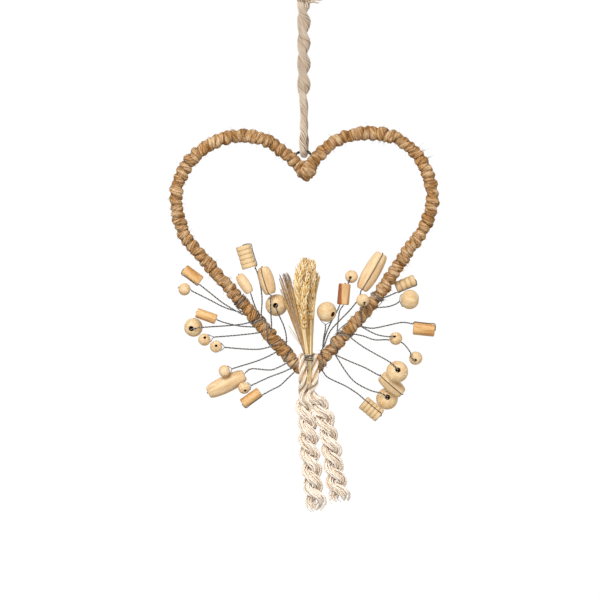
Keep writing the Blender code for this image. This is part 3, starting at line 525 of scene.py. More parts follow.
class Weave:
    """One mesh of closed skins, each through rings of places round a line.

    Each vertex keeps its strand vector, which is how far along it is and where it is round the
    strand, a tone from 0 to 1, and how far it is raised out of the gaps between the strands, which
    the materials use to paint shade where it is low.
    """

    def __init__(self):
        self.bm = bmesh.new()
        self.strand = self.bm.verts.layers.float_vector.new("strand")
        self.tone = self.bm.verts.layers.float.new("tone")
        self.raised = self.bm.verts.layers.float.new("raised")

    def skin(self, rings, along, tone=0.5, raised=1.0, around=None):
        """A closed skin through an array of rings, each an array of places.

        raised is a number, an array for the places, or a function that works it out from them,
        and around is the angle of each place round the strand where the strand is twisted.
        """
        count, sides = rings.shape[:2]
        made = bmesh.ops.create_grid(self.bm, x_segments=sides, y_segments=count - 1, size=1.0)["verts"]
        wrapped = np.concatenate([rings, rings[:, :1]], axis=1).reshape(-1, 3).tolist()
        heights = (raised(rings) if callable(raised) else raised) + np.zeros((count, sides))
        heights = np.concatenate([heights, heights[:, :1]], axis=1).reshape(-1).tolist()
        shifted = draw.random() * 3.0
        if around is None:
            around = np.linspace(0.0, TURN, sides, endpoint=False) + np.zeros((count, 1))
        around = np.concatenate([around, around[:, :1]], axis=1).reshape(-1)
        turned = np.stack([np.cos(around), np.sin(around)], axis=1).tolist()
        for place, vert in enumerate(made):
            vert.co = wrapped[place]
            vert[self.strand] = (along[place // (sides + 1)] + shifted, *turned[place])
            vert[self.tone] = tone
            vert[self.raised] = heights[place]
        seam = [made[row * (sides + 1) + column] for row in range(count) for column in (0, sides)]
        bmesh.ops.remove_doubles(self.bm, verts=seam, dist=1e-7)
        for row in (0, count - 1):
            rim = made[row * (sides + 1):row * (sides + 1) + sides]
            edges = {edge for vert in rim if vert.is_valid for edge in vert.link_edges if edge.is_boundary}
            bmesh.ops.holes_fill(self.bm, edges=list(edges), sides=sides)

    def tube(self, points, radius, sides=8, tone=0.5, flat=1.0, raised=1.0):
        """A round or flattened tube along the points, with a radius at each or one for all."""
        across, deep = carried_frames(points)
        around = np.linspace(0.0, TURN, sides, endpoint=False)
        radius = radius + np.zeros(len(points))
        rings = (points[:, None] + radius[:, None, None] * (
            np.cos(around)[None, :, None] * across[:, None]
            + flat * np.sin(around)[None, :, None] * deep[:, None]))
        self.skin(rings, reached_along(points), tone, raised)

    def finished(self, name, finish, nodes, slot):
        """The piece, riding on the body and standing for its CAD nodes."""
        bmesh.ops.recalc_face_normals(self.bm, faces=self.bm.faces)
        mesh = bpy.data.meshes.new(name)
        self.bm.to_mesh(mesh)
        self.bm.free()
        mesh.shade_smooth()
        return placed(name, mesh, finish, nodes)


def placed(name, mesh, finish, nodes):
    mesh.materials.append(finish)
    piece = bpy.data.objects.new(name, mesh)
    bpy.context.scene.collection.objects.link(piece)
    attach(piece, "root")
    if nodes:
        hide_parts(*nodes)
    return piece


# Camera, light and backdrop

def camera():
    """A long lens straight in front, with the photograph's frame across the heart's plane."""
    data = bpy.data.cameras.new("camera")
    data.sensor_width = SENSOR_WIDTH
    data.lens = SENSOR_WIDTH * CAMERA_DISTANCE / (PHOTO_PIXELS * PIXEL)
    thing = bpy.data.objects.new("camera", data)
    middle = spot(PHOTO_PIXELS / 2, PHOTO_PIXELS / 2)
    thing.location = middle - Vector((0, CAMERA_DISTANCE, 0))
    thing.rotation_euler = (math.pi / 2, 0, 0)
    bpy.context.scene.collection.objects.link(thing)
    bpy.context.scene.camera = thing


def soft_light(name, place, aim, size, power):
    data = bpy.data.lights.new(name, "AREA")
    data.shape = "SQUARE"
    data.size = size
    data.energy = power
    thing = bpy.data.objects.new(name, data)
    thing.location = place
    thing.rotation_euler = (Vector(aim) - Vector(place)).to_track_quat("-Z", "Y").to_euler()
    bpy.context.scene.collection.objects.link(thing)


def studio():
    """A white room with a large soft light in front and above."""
    world = bpy.data.worlds.new("studio")
    world.use_nodes = True
    world.node_tree.nodes["Background"].inputs["Color"].default_value = (1, 1, 1, 1)
    world.node_tree.nodes["Background"].inputs["Strength"].default_value = 0.54
    bpy.context.scene.world = world
    bpy.context.scene.view_settings.view_transform = "Standard"
    middle = spot(PHOTO_PIXELS / 2, PHOTO_PIXELS / 2)
    soft_light("front_light", middle + Vector((-0.5, -1.5, 0.9)), middle, 0.9, 27.0)
    soft_light("fill_light", middle + Vector((1.1, -1.3, 0.1)), middle, 1.2, 4.5)
    paper = Shader("paper", {"Roughness": 0.9, "Emission Color": (1, 1, 1, 1), "Emission Strength": 1.0})
    grain = paper.clouds(paper.place(), 30.0)
    paper.colour(paper.blend(grain, (0.004, 0.004, 0.004, 1.0), (0.006, 0.006, 0.006, 1.0)))
    for name, away, upright in (("backdrop", BACKDROP_BEHIND, True), ("floor", FLOOR_Z, False)):
        bm = bmesh.new()
        bmesh.ops.create_grid(bm, x_segments=1, y_segments=1, size=4.0)
        if upright:
            standing = Vector((0, -1, 0)).to_track_quat("Z", "Y").to_matrix()
            bmesh.ops.rotate(bm, verts=bm.verts, matrix=standing)
            bmesh.ops.translate(bm, verts=bm.verts, vec=(0, away, 0))
        else:
            bmesh.ops.translate(bm, verts=bm.verts, vec=(0, 0, away))
        mesh = bpy.data.meshes.new(name)
        bm.to_mesh(mesh)
        bm.free()
        mesh.materials.append(paper.material)
        thing = bpy.data.objects.new(name, mesh)
        thing.visible_diffuse = False
        thing.visible_glossy = False
        bpy.context.scene.collection.objects.link(thing)


# Hanging cord

def bundle(weave, line, thickness, lay, yarns, loose=0.0):
    """A strand of many fine yarns laid round a core, each with its own small waves, with painted shade on
    the core and low on the yarns.
    """
    # Painted shade: the core is coloured all in the shade colour, so it shows as dark lines between the
    # yarns.
    weave.tube(line, thickness * 0.33, 10, 0.9, raised=0.0)
    for yarn in range(yarns):
        seed = 1.9 * yarn + line[0][0] * 700 + line[-1][2] * 300
        out = thickness * (0.385 + draw.uniform(-0.02, 0.03))
        run = helix(line, out, lay, TURN * yarn / yarns + draw.uniform(-0.1, 0.1), loose, seed)
        thick = thickness * 0.108 * (1 + wobble(reached_along(run), 260.0, seed, 0.25))
        # Painted shade where each yarn lies in towards the core.
        weave.tube(run, thick, 7, 0.4 + draw.uniform(-0.4, 0.4),
                   raised=out_from(line, 0.36 * thickness, 0.49 * thickness))


def hanging_cord_route():
    """The cord from the knot round the wire eye and back, after the part's source.

    It is twisted tighter, sways a little and goes on into the knot at both ends.
    """
    eye = spot(*EYE_TOP)
    middle_x = spot(CORD_U, 0).x
    turn_radius = CORD_THICKNESS / 2 + EYE_WIRE / 2 + EYE_ROOM
    slope = math.atan(TURN * CORD_TWIST_RADIUS / CORD_TWIST_PITCH)
    top_z = spot(0, KNOT_V).z - KNOT_HALF_HEIGHT - TOUCH_GAP - CORD_THICKNESS / 2 * math.sin(slope)
    twist_z = spot(0, CORD_STRAIGHT_V).z
    steps = round((top_z - twist_z) / CORD_TWIST_PITCH * STEPS_A_TURN)
    strand = []
    other = []
    for step in range(steps + 1):
        height = top_z + (twist_z - top_z) * step / steps
        angle = TURN * (twist_z - height) / CORD_TWIST_PITCH
        offset = CORD_DRAWN_IN * CORD_TWIST_RADIUS * Vector((math.sin(angle), -math.cos(angle), 0))
        swayed = Vector((middle_x + CORD_SWAY * (0.5 - math.cos(angle) ** 2), 0, height))
        strand.append(swayed + offset)
        other.append(swayed - offset)
    up = Vector((0, 0, CORD_INTO_KNOT))
    lead = [Vector((eye.x + sway, -turn_radius, twist_z - drop))
            for drop, sway in CORD_LEAD_SWAYS]
    turn = [eye + Vector((-CORD_TURN_TILT * math.cos(angle), -turn_radius * math.cos(angle),
                          -turn_radius * math.sin(angle)))
            for angle in [math.pi * part / 6 for part in range(7)]]
    mirrored = [Vector((2 * eye.x - point.x, -point.y, point.z)) for point in lead[::-1]]
    return [strand[0] + up] + strand + lead + turn + mirrored + other[::-1] + [other[0] + up]


def hanging_cord(cotton):
    line = smooth_route(hanging_cord_route(), CORD_STEP)
    weave = Weave()
    bundle(weave, line, CORD_DRAWN, CORD_LAY, CORD_YARNS, 0.05)
    cord = weave.finished("twisted_cord", cotton, ["hanging_cord"], "cotton")


def hanging_knot(cotton):
    """The overhand knot that ties the cord, with a frayed end at its right."""
    middle = np.array(tuple(spot(CORD_U, KNOT_V)))
    line = []
    for step in range(97):
        angle = TURN * step / 96
        line.append((math.sin(angle) + 2 * math.sin(2 * angle), math.cos(angle) - 2 * math.cos(2 * angle),
                     -math.sin(3 * angle)))
    reach = np.array([KNOT_HALF_WIDTH * 0.22, KNOT_HALF_WIDTH * 0.20, KNOT_HALF_HEIGHT * 0.52])
    line = even_steps(np.array(line) * reach + middle, CORD_STEP)
    weave = Weave()
    bundle(weave, line, CORD_THICKNESS * 0.9, CORD_LAY, CORD_YARNS, 0.05)
    for end in range(16):
        start = middle + np.array([0.0035, draw.uniform(-0.003, 0.002), draw.uniform(-0.006, 0.0)])
        tip = start + np.array([draw.uniform(0.007, 0.0115), draw.uniform(-0.002, 0.002),
                                draw.uniform(-0.001, 0.003)])
        bent = (start + tip) / 2 + np.array([0, 0, draw.uniform(0.0, 0.0015)])
        run = smooth_route([start, bent, tip], 0.0012)
        weave.tube(run, np.linspace(0.00055, 0.0002, len(run)), 5, draw.uniform(0.1, 0.6))
    weave.finished("cord_knot", cotton, ["hanging_knot"], "cotton")


def hanging_loop_route():
    """The loop above the knot, as in the part's source."""
    foot_z = spot(0, KNOT_V).z + KNOT_HALF_HEIGHT + TOUCH_GAP
    side = CORD_THICKNESS / 2 + TOUCH_GAP
    top_z = CORD_THICKNESS / 2
    middle_x = spot(CORD_U, 0).x
    arch_z = top_z - LOOP_HALF_WIDTH
    half = [Vector((middle_x - side, 0, foot_z)), Vector((middle_x - side - 0.0006, 0, foot_z + 0.003)),
            Vector((-LOOP_HALF_WIDTH * 0.93, 0, arch_z - 0.004)), Vector((-LOOP_HALF_WIDTH, 0, arch_z)),
            Vector((-LOOP_HALF_WIDTH * 0.71, 0, arch_z + LOOP_HALF_WIDTH * 0.71)), Vector((0, 0, top_z))]
    mirrored = [Vector((2 * middle_x - point.x, 0, point.z)) for point in half[:2]]
    mirrored += [Vector((-point.x, 0, point.z)) for point in half[2:-1]]
    return half + mirrored[::-1]


def hanging_loop(cotton):
    line = smooth_route(hanging_loop_route(), CORD_STEP)
    weave = Weave()
    bundle(weave, line, CORD_THICKNESS, CORD_LAY, CORD_YARNS, 0.05)
    loop = weave.finished("nail_loop", cotton, ["hanging_loop"], "cotton")


# Tassel

def tail_routes(pixels):
    """The two strands of a twisted tail, wider apart below its top."""
    axis = smooth_route([spot(*pixel) for pixel in pixels], TAIL_TWIST_PITCH / STEPS_A_TURN)
    strands = ([], [])
    for place, point in enumerate(axis):
        angle = math.pi / 2 - TURN * place / STEPS_A_TURN
        along = Vector(axis[min(place + 1, len(axis) - 1)] - axis[max(place - 1, 0)])
        across = along.cross(Vector((0, 1, 0))).normalized()
        opened = min(1.0, float(np.linalg.norm(axis[0] - point)) / TAIL_OPENS_OVER)
        spread = TAIL_TOP_SPREAD + (TAIL_SPREAD - TAIL_TOP_SPREAD) * opened
        offset = across * spread * math.cos(angle) - Vector((0, TAIL_DEPTH, 0)) * math.sin(angle)
        strands[0].append(Vector(point) + offset)
        strands[1].append(Vector(point) - offset)
    return strands


def rope_halves(over_u, gathered, tail):
    """The front and the back half of one rope, each from the top of the tip to its end."""
    front_back = TUBE_THICKNESS / 2 + WRAP_RELIEF + TOUCH_GAP + ROPE_THICKNESS / 2
    front, rear = tail_routes(tail)
    across = spot(over_u, ROPE_ACROSS_V)
    bight = []
    for part in range(7):
        angle = math.pi * part / 6
        bight.append(across + Vector((0, -front_back * math.cos(angle), ROPE_RISE * math.sin(angle))))
    front_leg = spot(over_u, ROPE_LEG_V, -front_back)
    back_leg = spot(over_u, ROPE_LEG_V, front_back)
    first = spot(*gathered, -TAIL_DEPTH - TOUCH_GAP)
    last = spot(*gathered, TAIL_DEPTH + TOUCH_GAP)
    top = len(bight) // 2
    return bight[top::-1] + [front_leg, first] + front, bight[top:] + [back_leg, last] + rear


def tassel_rope(side, over_u, gathered, tail, cotton):
    """The two halves of one rope, twisted together below the tip and loosened to their ends."""
    for half, route in zip(("front", "back"), rope_halves(over_u, gathered, tail)):
        line = smooth_route(route, 0.001)
        weave = Weave()
        loosened_rope(weave, line)
        rope = weave.finished(f"rope_{side}_{half}", cotton, [f"tassel_rope_{side}"], "cotton")


def loosened_rope(weave, line):
    """A three ply rope whose yarns open and wave more and more towards its end."""
    along = reached_along(line)
    opened = np.clip((along - ROPE_TIGHT_OVER) / 0.012, 0.0, 1.0)
    frayed = np.clip((along - along[-1] + FRAYED_OVER) / FRAYED_OVER, 0.0, 1.0)
    # Painted shade: the core is coloured mostly in the shade colour, less where the plies open.
    weave.tube(line, ROPE_DRAWN * (0.27 - 0.04 * opened - 0.14 * frayed), 10, 0.6,
               raised=(0.30 + 0.30 * opened)[:, None])
    ply_lay = ROPE_LAY + (TAIL_LAY - ROPE_LAY) * opened
    for ply in range(ROPE_PLIES):
        seed = line[0][0] * 900 + line[-1][1] * 5000 + ply * 4.7
        ply_out = ROPE_DRAWN * (0.27 + 0.05 * opened - 0.06 * frayed)
        middle = helix(line, ply_out, ply_lay, TURN * ply / ROPE_PLIES, 0.05, seed)
        for yarn in range(PLY_YARNS):
            own = seed + 1.37 * yarn
            spread = ROPE_DRAWN * (0.15 + 0.04 * opened + 0.11 * frayed ** 1.5)
            run = helix(middle, spread, ply_lay * 1.6, TURN * yarn / PLY_YARNS, 0.10, own)
            across, deep = carried_frames(run)
            sway = (TAIL_WAVE * opened)[:, None]
            run = run + sway * (across * wobble(along, 210.0, own, 2.0)[:, None]
                                + deep * wobble(along, 180.0, own + 5, 2.0)[:, None])
            away = run - line
            reach = np.linalg.norm(away, axis=1)[:, None]
            run = line + away * np.minimum(1.0, ROPE_REACH / np.maximum(reach, 0.0001))
            kept = len(run) - draw.randrange(0, FRAYED_STEPS)
            thick = ROPE_DRAWN * 0.078 * (1 - 0.25 * frayed) * (1 + wobble(along, 300.0, own, 0.25))
            # Painted shade where the yarns lie in towards the core, less where the rope opens.
            weave.tube(run[:kept], thick[:kept], 7, 0.4 + draw.uniform(-0.4, 0.4),
                       raised=out_from(line, 0.30 * ROPE_DRAWN, 0.48 * ROPE_DRAWN, 0.18 + 0.50 * opened))


# The wrapped heart

def jute_twine():
    """Coarse jute: long fibres run along the twine, with painted shade between its turns."""
    shader = Shader("jute_twine", {"Roughness": 0.95, "Specular IOR Level": 0.08})
    strand = shader.vector("strand")
    fibres = shader.clouds(strand * (110.0, 2.7, 2.7), 1.0, 3.0, 0.6)
    fine = shader.clouds(strand * (260.0, 7.0, 7.0), 1.0, 3.0, 0.6)
    patches = shader.clouds(shader.place(), 120.0, 3.0).between(0.35, 0.65)
    streaks = (fibres * 0.6 + fine * 0.4).between(0.41, 0.57)
    light = shader.blend(patches, linear("CB9B65"), linear("E4C297"))
    dark = shader.blend(patches, linear("80552B"), linear("A0754A"))
    surface = shader.blend(streaks, dark, light)
    # Painted shade: the low places of the twine, between its turns and its fibre ridges, are darkened.
    shader.colour(shader.blend(shader.number("raised").between(0.12, 0.66), linear("6A4422"), surface))
    shader.bump(fibres + fine * 0.7, 0.0008, 0.9)
    return shader.material


def heart_line(spacing):
    """The closed middle line of the heart, from the cleft round the left lobe to the tip and back."""
    left = smooth_route([spot(*pixel) for pixel in (CLEFT, *LEFT_LOBE, TIP)], spacing)
    right = smooth_route([spot(*pixel) for pixel in (TIP, *RIGHT_LOBE[::-1], CLEFT)], spacing)
    return np.concatenate([left[:-1], right[:-1]])


def averaged(values, reach):
    """Each value round a closed line averaged with its neighbours."""
    return sum(np.roll(values, shift, axis=0) for shift in range(-reach, reach + 1)) / (2 * reach + 1)


def round_line(values, spacing, reached):
    """The values of a closed line at other distances along it."""
    place = np.mod(reached / spacing, len(values))
    low = np.floor(place).astype(int) % len(values)
    share = (place - np.floor(place))[:, None]
    return values[low] * (1 - share) + values[(low + 1) % len(values)] * share


def turn_starts(whole, corners):
    """Where each turn of the twine starts along the line, closer together at the sharp corners."""
    starts = [0.0]
    while starts[-1] < whole:
        nearest = min(abs(starts[-1] - corner) for corner in corners)
        pitch = TWINE_PITCH * (0.70 if nearest < CORNER_REACH else 1.0)
        starts.append(starts[-1] + pitch * (1 + draw.uniform(-0.20, 0.20)))
    return np.array(starts) * whole / starts[-1]


def twine_path():
    """The winding of the twine: its middle, the way out from the tube and its half width."""
    line = heart_line(0.001)
    spacing = (np.linalg.norm(np.diff(line, axis=0), axis=1)).mean()
    whole = spacing * len(line)
    corner = int(np.argmin(np.linalg.norm(line - np.array(tuple(spot(*TIP))), axis=1))) * spacing
    along = unit(averaged(np.roll(line, -1, axis=0) - np.roll(line, 1, axis=0), 6))
    starts = turn_starts(whole, (0.0, corner, whole))
    turned = np.arange((len(starts) - 1) * TWINE_STEPS + 1) / TWINE_STEPS
    order = np.arange(len(starts))
    angle = TURN * turned
    reached = np.interp(turned, order, starts)
    reached = reached + wobble(turned, 0.45, 2.0, 0.0040) * np.cos(angle)
    reached = reached + wobble(turned, 1.7, 4.0, 0.0009)
    half_width = 0.5 * np.maximum(np.interp(turned, order[:-1] + 0.5, np.diff(starts)), TWINE_PITCH * 0.85)
    middle = round_line(averaged(line, 2), spacing, reached)
    forward = unit(round_line(along, spacing, reached))
    across = unit(np.cross(forward, np.array([0.0, 1.0, 0.0])))
    outward = np.cos(angle)[:, None] * across + np.sin(angle)[:, None] * np.array([0.0, 1.0, 0.0])
    lifted = wobble(turned, 0.9, 6.0, 0.0009) + wobble(turned, 3.1, 8.0, 0.0005)
    radius = WRAP_RADIUS - TWINE_HALF_HEIGHT + lifted
    return middle + radius[:, None] * outward, outward, half_width * 1.04


def wound_twine(weave, path, outward, half_width, least_raised=0.0):
    """Twine laid along a path: flat where it lies on the tube, and ridged by its fibres above."""
    along = unit(np.gradient(path, axis=0))
    outward = unit(outward - along * (outward * along).sum(axis=1, keepdims=True))
    aside = np.cross(along, outward)
    reached = reached_along(path)
    outer = np.linspace(-2.1, 2.1, TWINE_SIDES - 5)
    angles = np.concatenate([outer, np.linspace(2.1, TURN - 2.1, 7)[1:-1]])
    twisted = angles[None, :] + TURN * reached[:, None] / TWINE_LAY
    uneven = np.array([[noise.noise(Vector((math.cos(turn) * 1.6, math.sin(turn) * 1.6, far * 170.0)))
                        for turn in row] for row, far in zip(twisted, reached)])
    ridges = np.abs(np.cos(TWINE_RIDGES / 2 * twisted + 1.6 * uneven))
    size = 0.78 + 0.32 * ridges + 0.14 * uneven
    rings = (path[:, None] + aside[:, None] * (np.sin(angles) * size * half_width[:, None])[..., None]
             + outward[:, None] * (np.cos(angles) * size * TWINE_HALF_HEIGHT)[..., None])
    # raised is low on the twine's underside and in the grooves between its fibre ridges, where the jute
    # material paints shade; least_raised limits how dark it gets.
    raised = (0.5 + 0.5 * np.cos(angles)) * (0.32 + 0.68 * ridges + 0.20 * uneven)
    weave.skin(rings, reached, raised=np.maximum(raised, least_raised), around=twisted)
    return outward, along


def jute_wrap(jute):
    """The jute twine wound turn by turn round the wire of the heart, and over its cleft."""
    weave = Weave()
    path, outward, half_width = twine_path()
    outward, along = wound_twine(weave, path, outward, half_width)
    start = np.array(tuple(spot(*CLEFT_FROM)))
    end = np.array(tuple(spot(*CLEFT_TO)))
    share = np.linspace(0.0, 1.0, round(CLEFT_TURNS * TWINE_STEPS))[:, None]
    across = unit(np.cross(end - start, np.array([0.0, 1.0, 0.0])))
    angle = TURN * CLEFT_TURNS * share
    away = np.cos(angle) * across + np.sin(angle) * np.array([0.0, 1.0, 0.0])
    radius = 0.0044 - 0.0004 * share - 0.0022 * np.clip(1 - 6 * np.minimum(share, 1 - share), 0.0, 1.0)
    wound_twine(weave, start + (end - start) * share + away * radius, away, np.full(len(share), 0.0021), 0.5)
    weave.finished("jute_wrap", jute, ["jute_heart"], "jute")
    return path, outward, along


def jute_core(jute):
    """What shows of the wrapped wire between the turns, and the solid corners of cleft and tip."""
    line = heart_line(CORE_STEP)
    viewed = np.array([0.0, 1.0, 0.0])
    coming = unit(line - np.roll(line, 1, axis=0))
    going = unit(np.roll(line, -1, axis=0) - line)
    across = unit(np.cross(coming + going, viewed))
    mitre = 1 / np.sqrt((1 + (coming * going).sum(axis=1)) / 2)
    around = np.linspace(0.0, TURN, 16, endpoint=False)
    rings = (line[:, None] + CORE_RADIUS * (
        (np.cos(around)[None, :] * mitre[:, None])[..., None] * across[:, None]
        + np.sin(around)[None, :, None] * viewed))
    rings = np.concatenate([rings, rings[:1]])
    reached = np.arange(len(rings)) * CORE_STEP
    weave = Weave()
    # The core shows between the turns and is painted mostly in shade.
    weave.skin(rings, reached, raised=0.3)
    weave.finished("jute_core", jute, ["jute_heart"], "jute")


def loose_fibres(path, outward, along, jute):
    """Single fibres that stand out of the twine, and the few larger tufts."""
    weave = Weave()
    tufts = [(spot(*pixel), count, reach) for pixel, count, reach in TUFTS]
    places = [draw.randrange(len(path)) for _ in range(LOOSE_FIBRES)]
    sizes = [FIBRE_REACH] * len(places)
    for middle, count, reach in tufts:
        gaps = np.linalg.norm(path - np.array(tuple(middle)), axis=1)
        near = np.argsort(gaps)[:40]
        places += [int(near[draw.randrange(len(near))]) for _ in range(count)]
        sizes += [reach] * count
    for place, size in zip(places, sizes):
        away = outward[place]
        base = path[place] + away * TWINE_HALF_HEIGHT * 0.9
        forward = along[place] * draw.choice((-1, 1)) * draw.uniform(0.5, 1.5)
        side = np.array([draw.uniform(-0.6, 0.6) for _ in range(3)])
        leap = unit(forward + side + away * draw.uniform(0.3, 1.1)) * size * draw.uniform(0.6, 1.6)
        end = base + leap + np.array([0, 0, -0.0004])
        bend = base + leap * 0.5 + away * draw.uniform(0.0, 0.0009)
        run = smooth_route([base - away * 0.0006, bend, end], size / 3)
        weave.tube(run, np.linspace(*FIBRE_THICKNESS, len(run)), 3, 0.9)
    weave.finished("jute_fibres", jute, [], "jute")


# Beads

def grained_wood(name, pale, deep, streak=None, contrast=1.0):
    """Turned wood: fine grain runs along the bore, with soft darker bands and small pores."""
    shader = Shader(name, {"Coat Weight": 0.04, "Coat Roughness": 0.4, "Specular IOR Level": 0.12})
    grain = shader.vector("strand")
    bands = shader.clouds(grain * (330.0, 330.0, 42.0), 1.0, 4.0, 0.55)
    fine = shader.clouds(grain * (1500.0, 1500.0, 110.0), 1.0, 3.0, 0.6)
    pores = shader.clouds(grain * (2600.0, 2600.0, 420.0), 1.0, 1.0).between(0.62, 0.72)
    mixed = (bands * (0.7 * contrast) + fine * 0.3 * contrast + 0.5 * (1 - contrast)).between(0.30, 0.72)
    wood = shader.blend(mixed, linear(pale), linear(deep))
    wood = shader.blend(pores * 0.35, wood, linear("A5723A"))
    if streak:
        edge = shader.number("side") + (bands - 0.5) * 0.9
        wood = shader.blend(edge.between(-0.55, -0.25), linear(streak), wood)
    # Painted shade: darker in the bore and in the grooves of the ribbed beads.
    shader.colour(shader.blend(shader.number("raised").between(0.0, 1.0), linear("4E3118"), wood))
    shader.roughness(fine * 0.25 + 0.42)
    shader.bump(bands * 0.4 + fine, 0.00012, 0.5)
    return shader.material


def rounded(profile, soft=0.00035, steps=3):
    """The profile with each of its corners cut round."""
    points = [np.array(point) for point in profile]
    made = []
    for place, point in enumerate(points):
        before = points[place - 1]
        after = points[(place + 1) % len(points)]
        cut = min(soft, 0.45 * np.linalg.norm(before - point), 0.45 * np.linalg.norm(after - point))
        start = point + unit(before - point) * cut
        end = point + unit(after - point) * cut
        for step in range(steps + 1):
            t = step / steps
            made.append((1 - t) ** 2 * start + 2 * t * (1 - t) * point + t ** 2 * end)
    return made


def ball_profile(half_length, half_width, bore):
    edge = math.acos(bore * 1.25 / half_width)
    lift = half_length / half_width
    angles = np.linspace(-edge, edge, 19)
    side = [(half_width * math.cos(angle), half_width * lift * math.sin(angle)) for angle in angles]
    lip = side[-1][1] - bore * 0.35
    return [(bore, -lip), *side, (bore, lip)]


def cylinder_profile(half_length, half_width, bore):
    soft = half_width * 0.14
    dish = half_width * 0.05
    side = [(half_width - soft, half_length), (half_width, half_length - soft)]
    lower = [(radius, -height) for radius, height in side]
    return [(bore, dish - half_length), *lower, *side[::-1], (bore, half_length - dish)]


def oval_profile(half_length, half_width, bore):
    end_width = half_width * 0.52
    heights = np.sin(np.linspace(-math.pi / 2, math.pi / 2, 15))
    side = [(end_width + (half_width - end_width) * math.sqrt(max(0.0, 1 - height ** 2)),
             half_length * height) for height in heights]
    return [(bore, -half_length * 0.97), *side, (bore, half_length * 0.97)]


def ribbed_profile(half_length, half_width, bore, ribs, depth):
    side = []
    steps = ribs * 8
    for step in range(steps + 1):
        round_rib = abs(math.sin(math.pi * ribs * step / steps)) ** 0.7
        side.append((half_width * (1 - depth + depth * round_rib), half_length * (2 * step / steps - 1)))
    return [(bore, -half_length), *side, (bore, half_length)]


PROFILES = {"ball": ball_profile, "cylinder": cylinder_profile, "oval": oval_profile,
            "ribbed": ribbed_profile}


def bore_of(bead):
    return LARGE_BORE if bead.form == "ball" and bead.width > 0.012 else SMALL_BORE


def bore_line(bead):
    """The direction of the bore, from the end its stem leaves to the other end."""
    if bead.hole is None:
        slope = math.radians(bead.slope)
        return Vector((math.cos(slope), 0, math.sin(slope)))
    face = (spot(*bead.hole) - spot(bead.u, bead.v)) / (bead.width / 2)
    towards = math.sqrt(max(FACING_OUT, 1 - face.x ** 2 - face.z ** 2))
    return -Vector((face.x, -towards, face.z)).normalized()


def lathe_profile(name, bead):
    """Half the section of a bead: its outside from the lower end to the upper."""
    return PROFILES[bead.form](bead.length / 2, bead.width / 2, bore_of(bead) / 2, *RIBS.get(name, ()))


def turned_bead(name, bead, finish):
    """A bead turned on a lathe: its softened profile spun round the bore, then not quite true."""
    bm = bmesh.new()
    bore = bore_of(bead) / 2
    profile = rounded([*lathe_profile(name, bead), (bore * BORE_WAIST, 0.0)])
    rim = [bm.verts.new((point[0], 0, point[1])) for point in profile]
    edges = [bm.edges.new(pair) for pair in zip(rim, rim[1:] + rim[:1])]
    bmesh.ops.spin(bm, geom=rim + edges, cent=(0, 0, 0), axis=(0, 0, 1), angle=TURN,
                   steps=BEAD_SIDES, use_merge=True)
    bmesh.ops.recalc_face_normals(bm, faces=bm.faces)
    strand = bm.verts.layers.float_vector.new("strand")
    raised = bm.verts.layers.float.new("raised")
    side = bm.verts.layers.float.new("side")
    shift = Vector([draw.uniform(-0.5, 0.5) for _ in range(3)])
    turned = bore_line(bead).to_track_quat("Z", "Y").to_matrix()
    middle = spot(bead.u, bead.v, bead.back)
    uneven = 0.12 if bead.form == "ribbed" else 0.16
    for vert in bm.verts:
        local = vert.co.copy()
        vert[strand] = local + shift
        radius = math.hypot(local.x, local.y)
        out = Vector((local.x, local.y, 0)).normalized()
        swell = noise.noise(local * 160 + shift * 40) * uneven * 0.001
        # raised is 0 in the bore and lower in the rib grooves, where the wood material paints shade.
        vert[raised] = 1.0
        if radius < bore * 1.05:
            swell = 0.0
            vert[raised] = 0.0
        elif bead.form == "ribbed":
            depth = RIBS[name][1]
            vert[raised] = 0.5 + 0.5 * min(1.0, max(0.0, radius / bead.width * 2 - 1 + depth) / depth)
        vert.co = middle + turned @ (local + out * swell)
        vert[side] = (vert.co.x - middle.x) / (bead.width / 2)
    mesh = bpy.data.meshes.new(name)
    bm.to_mesh(mesh)
    bm.free()
    mesh.shade_smooth()
    return placed("turned_" + name, mesh, finish, [name])


def beads():
    maple = grained_wood("pale_maple", "EED6AC", "D3AB76")
    warm = grained_wood("warm_maple", "EFD4AC", "D1A873")
    plain = grained_wood("plain_maple", "EED3A8", "D8B17C", contrast=0.35)
    honey = grained_wood("honey_wood", "E8BD84", "B67E45", contrast=1.4)
    streaked = grained_wood("streaked_wood", "EAC391", "C28D55", streak="9C5F3C")
    for name, bead in BEADS.items():
        finish = maple
        if bead.form == "cylinder":
            finish = streaked if name == "bead_right_cylinder_inside" else honey
        elif bead.form == "ribbed":
            finish = plain
        elif bead.width < 0.011 or bead.form == "oval":
            finish = warm
        turned_bead(name, bead, finish)


# Wires

def dark_wire():
    """Annealed wire: dull dark grey, lighter where it is rubbed, with a tone for each wire; a light tone is
    painted highlight.
    """
    shader = Shader("dark_wire", {"Metallic": 0.4, "Specular IOR Level": 0.4})
    strand = shader.vector("strand")
    rubbed = shader.clouds(strand * (500.0, 1.2, 1.2), 1.0, 3.0, 0.6)
    # Share of light grey: the wire's tone, which is painted highlight where it is light, and rubbed wear.
    light = (shader.number("tone") * 0.8 + (rubbed - 0.5) * 0.6).between(0.0, 0.9)
    shader.colour(shader.blend(light, linear("2B2827"), linear("A9A49E")))
    shader.roughness(rubbed * 0.3 + 0.35)
    return shader.material


def twisted_pair(weave, line, half, pitch=0.0027, start=0.0, tones=(0.05, 0.85)):
    """Two thin wires, a darker and a lighter one, twisted round each other along the line; the lighter tone
    is painted highlight.
    """
    for turn, tone in zip((start, start + math.pi), tones):
        weave.tube(helix(line, half * 0.98, pitch, turn), half, 5, tone)


def round_tube(point, inwards, radius, angle):
    """A place round the tube: angle 0 is towards the viewer and a quarter turn is inwards."""
    towards = Vector((0, -1, 0))
    return point + radius * (math.cos(angle) * towards + math.sin(angle) * inwards)


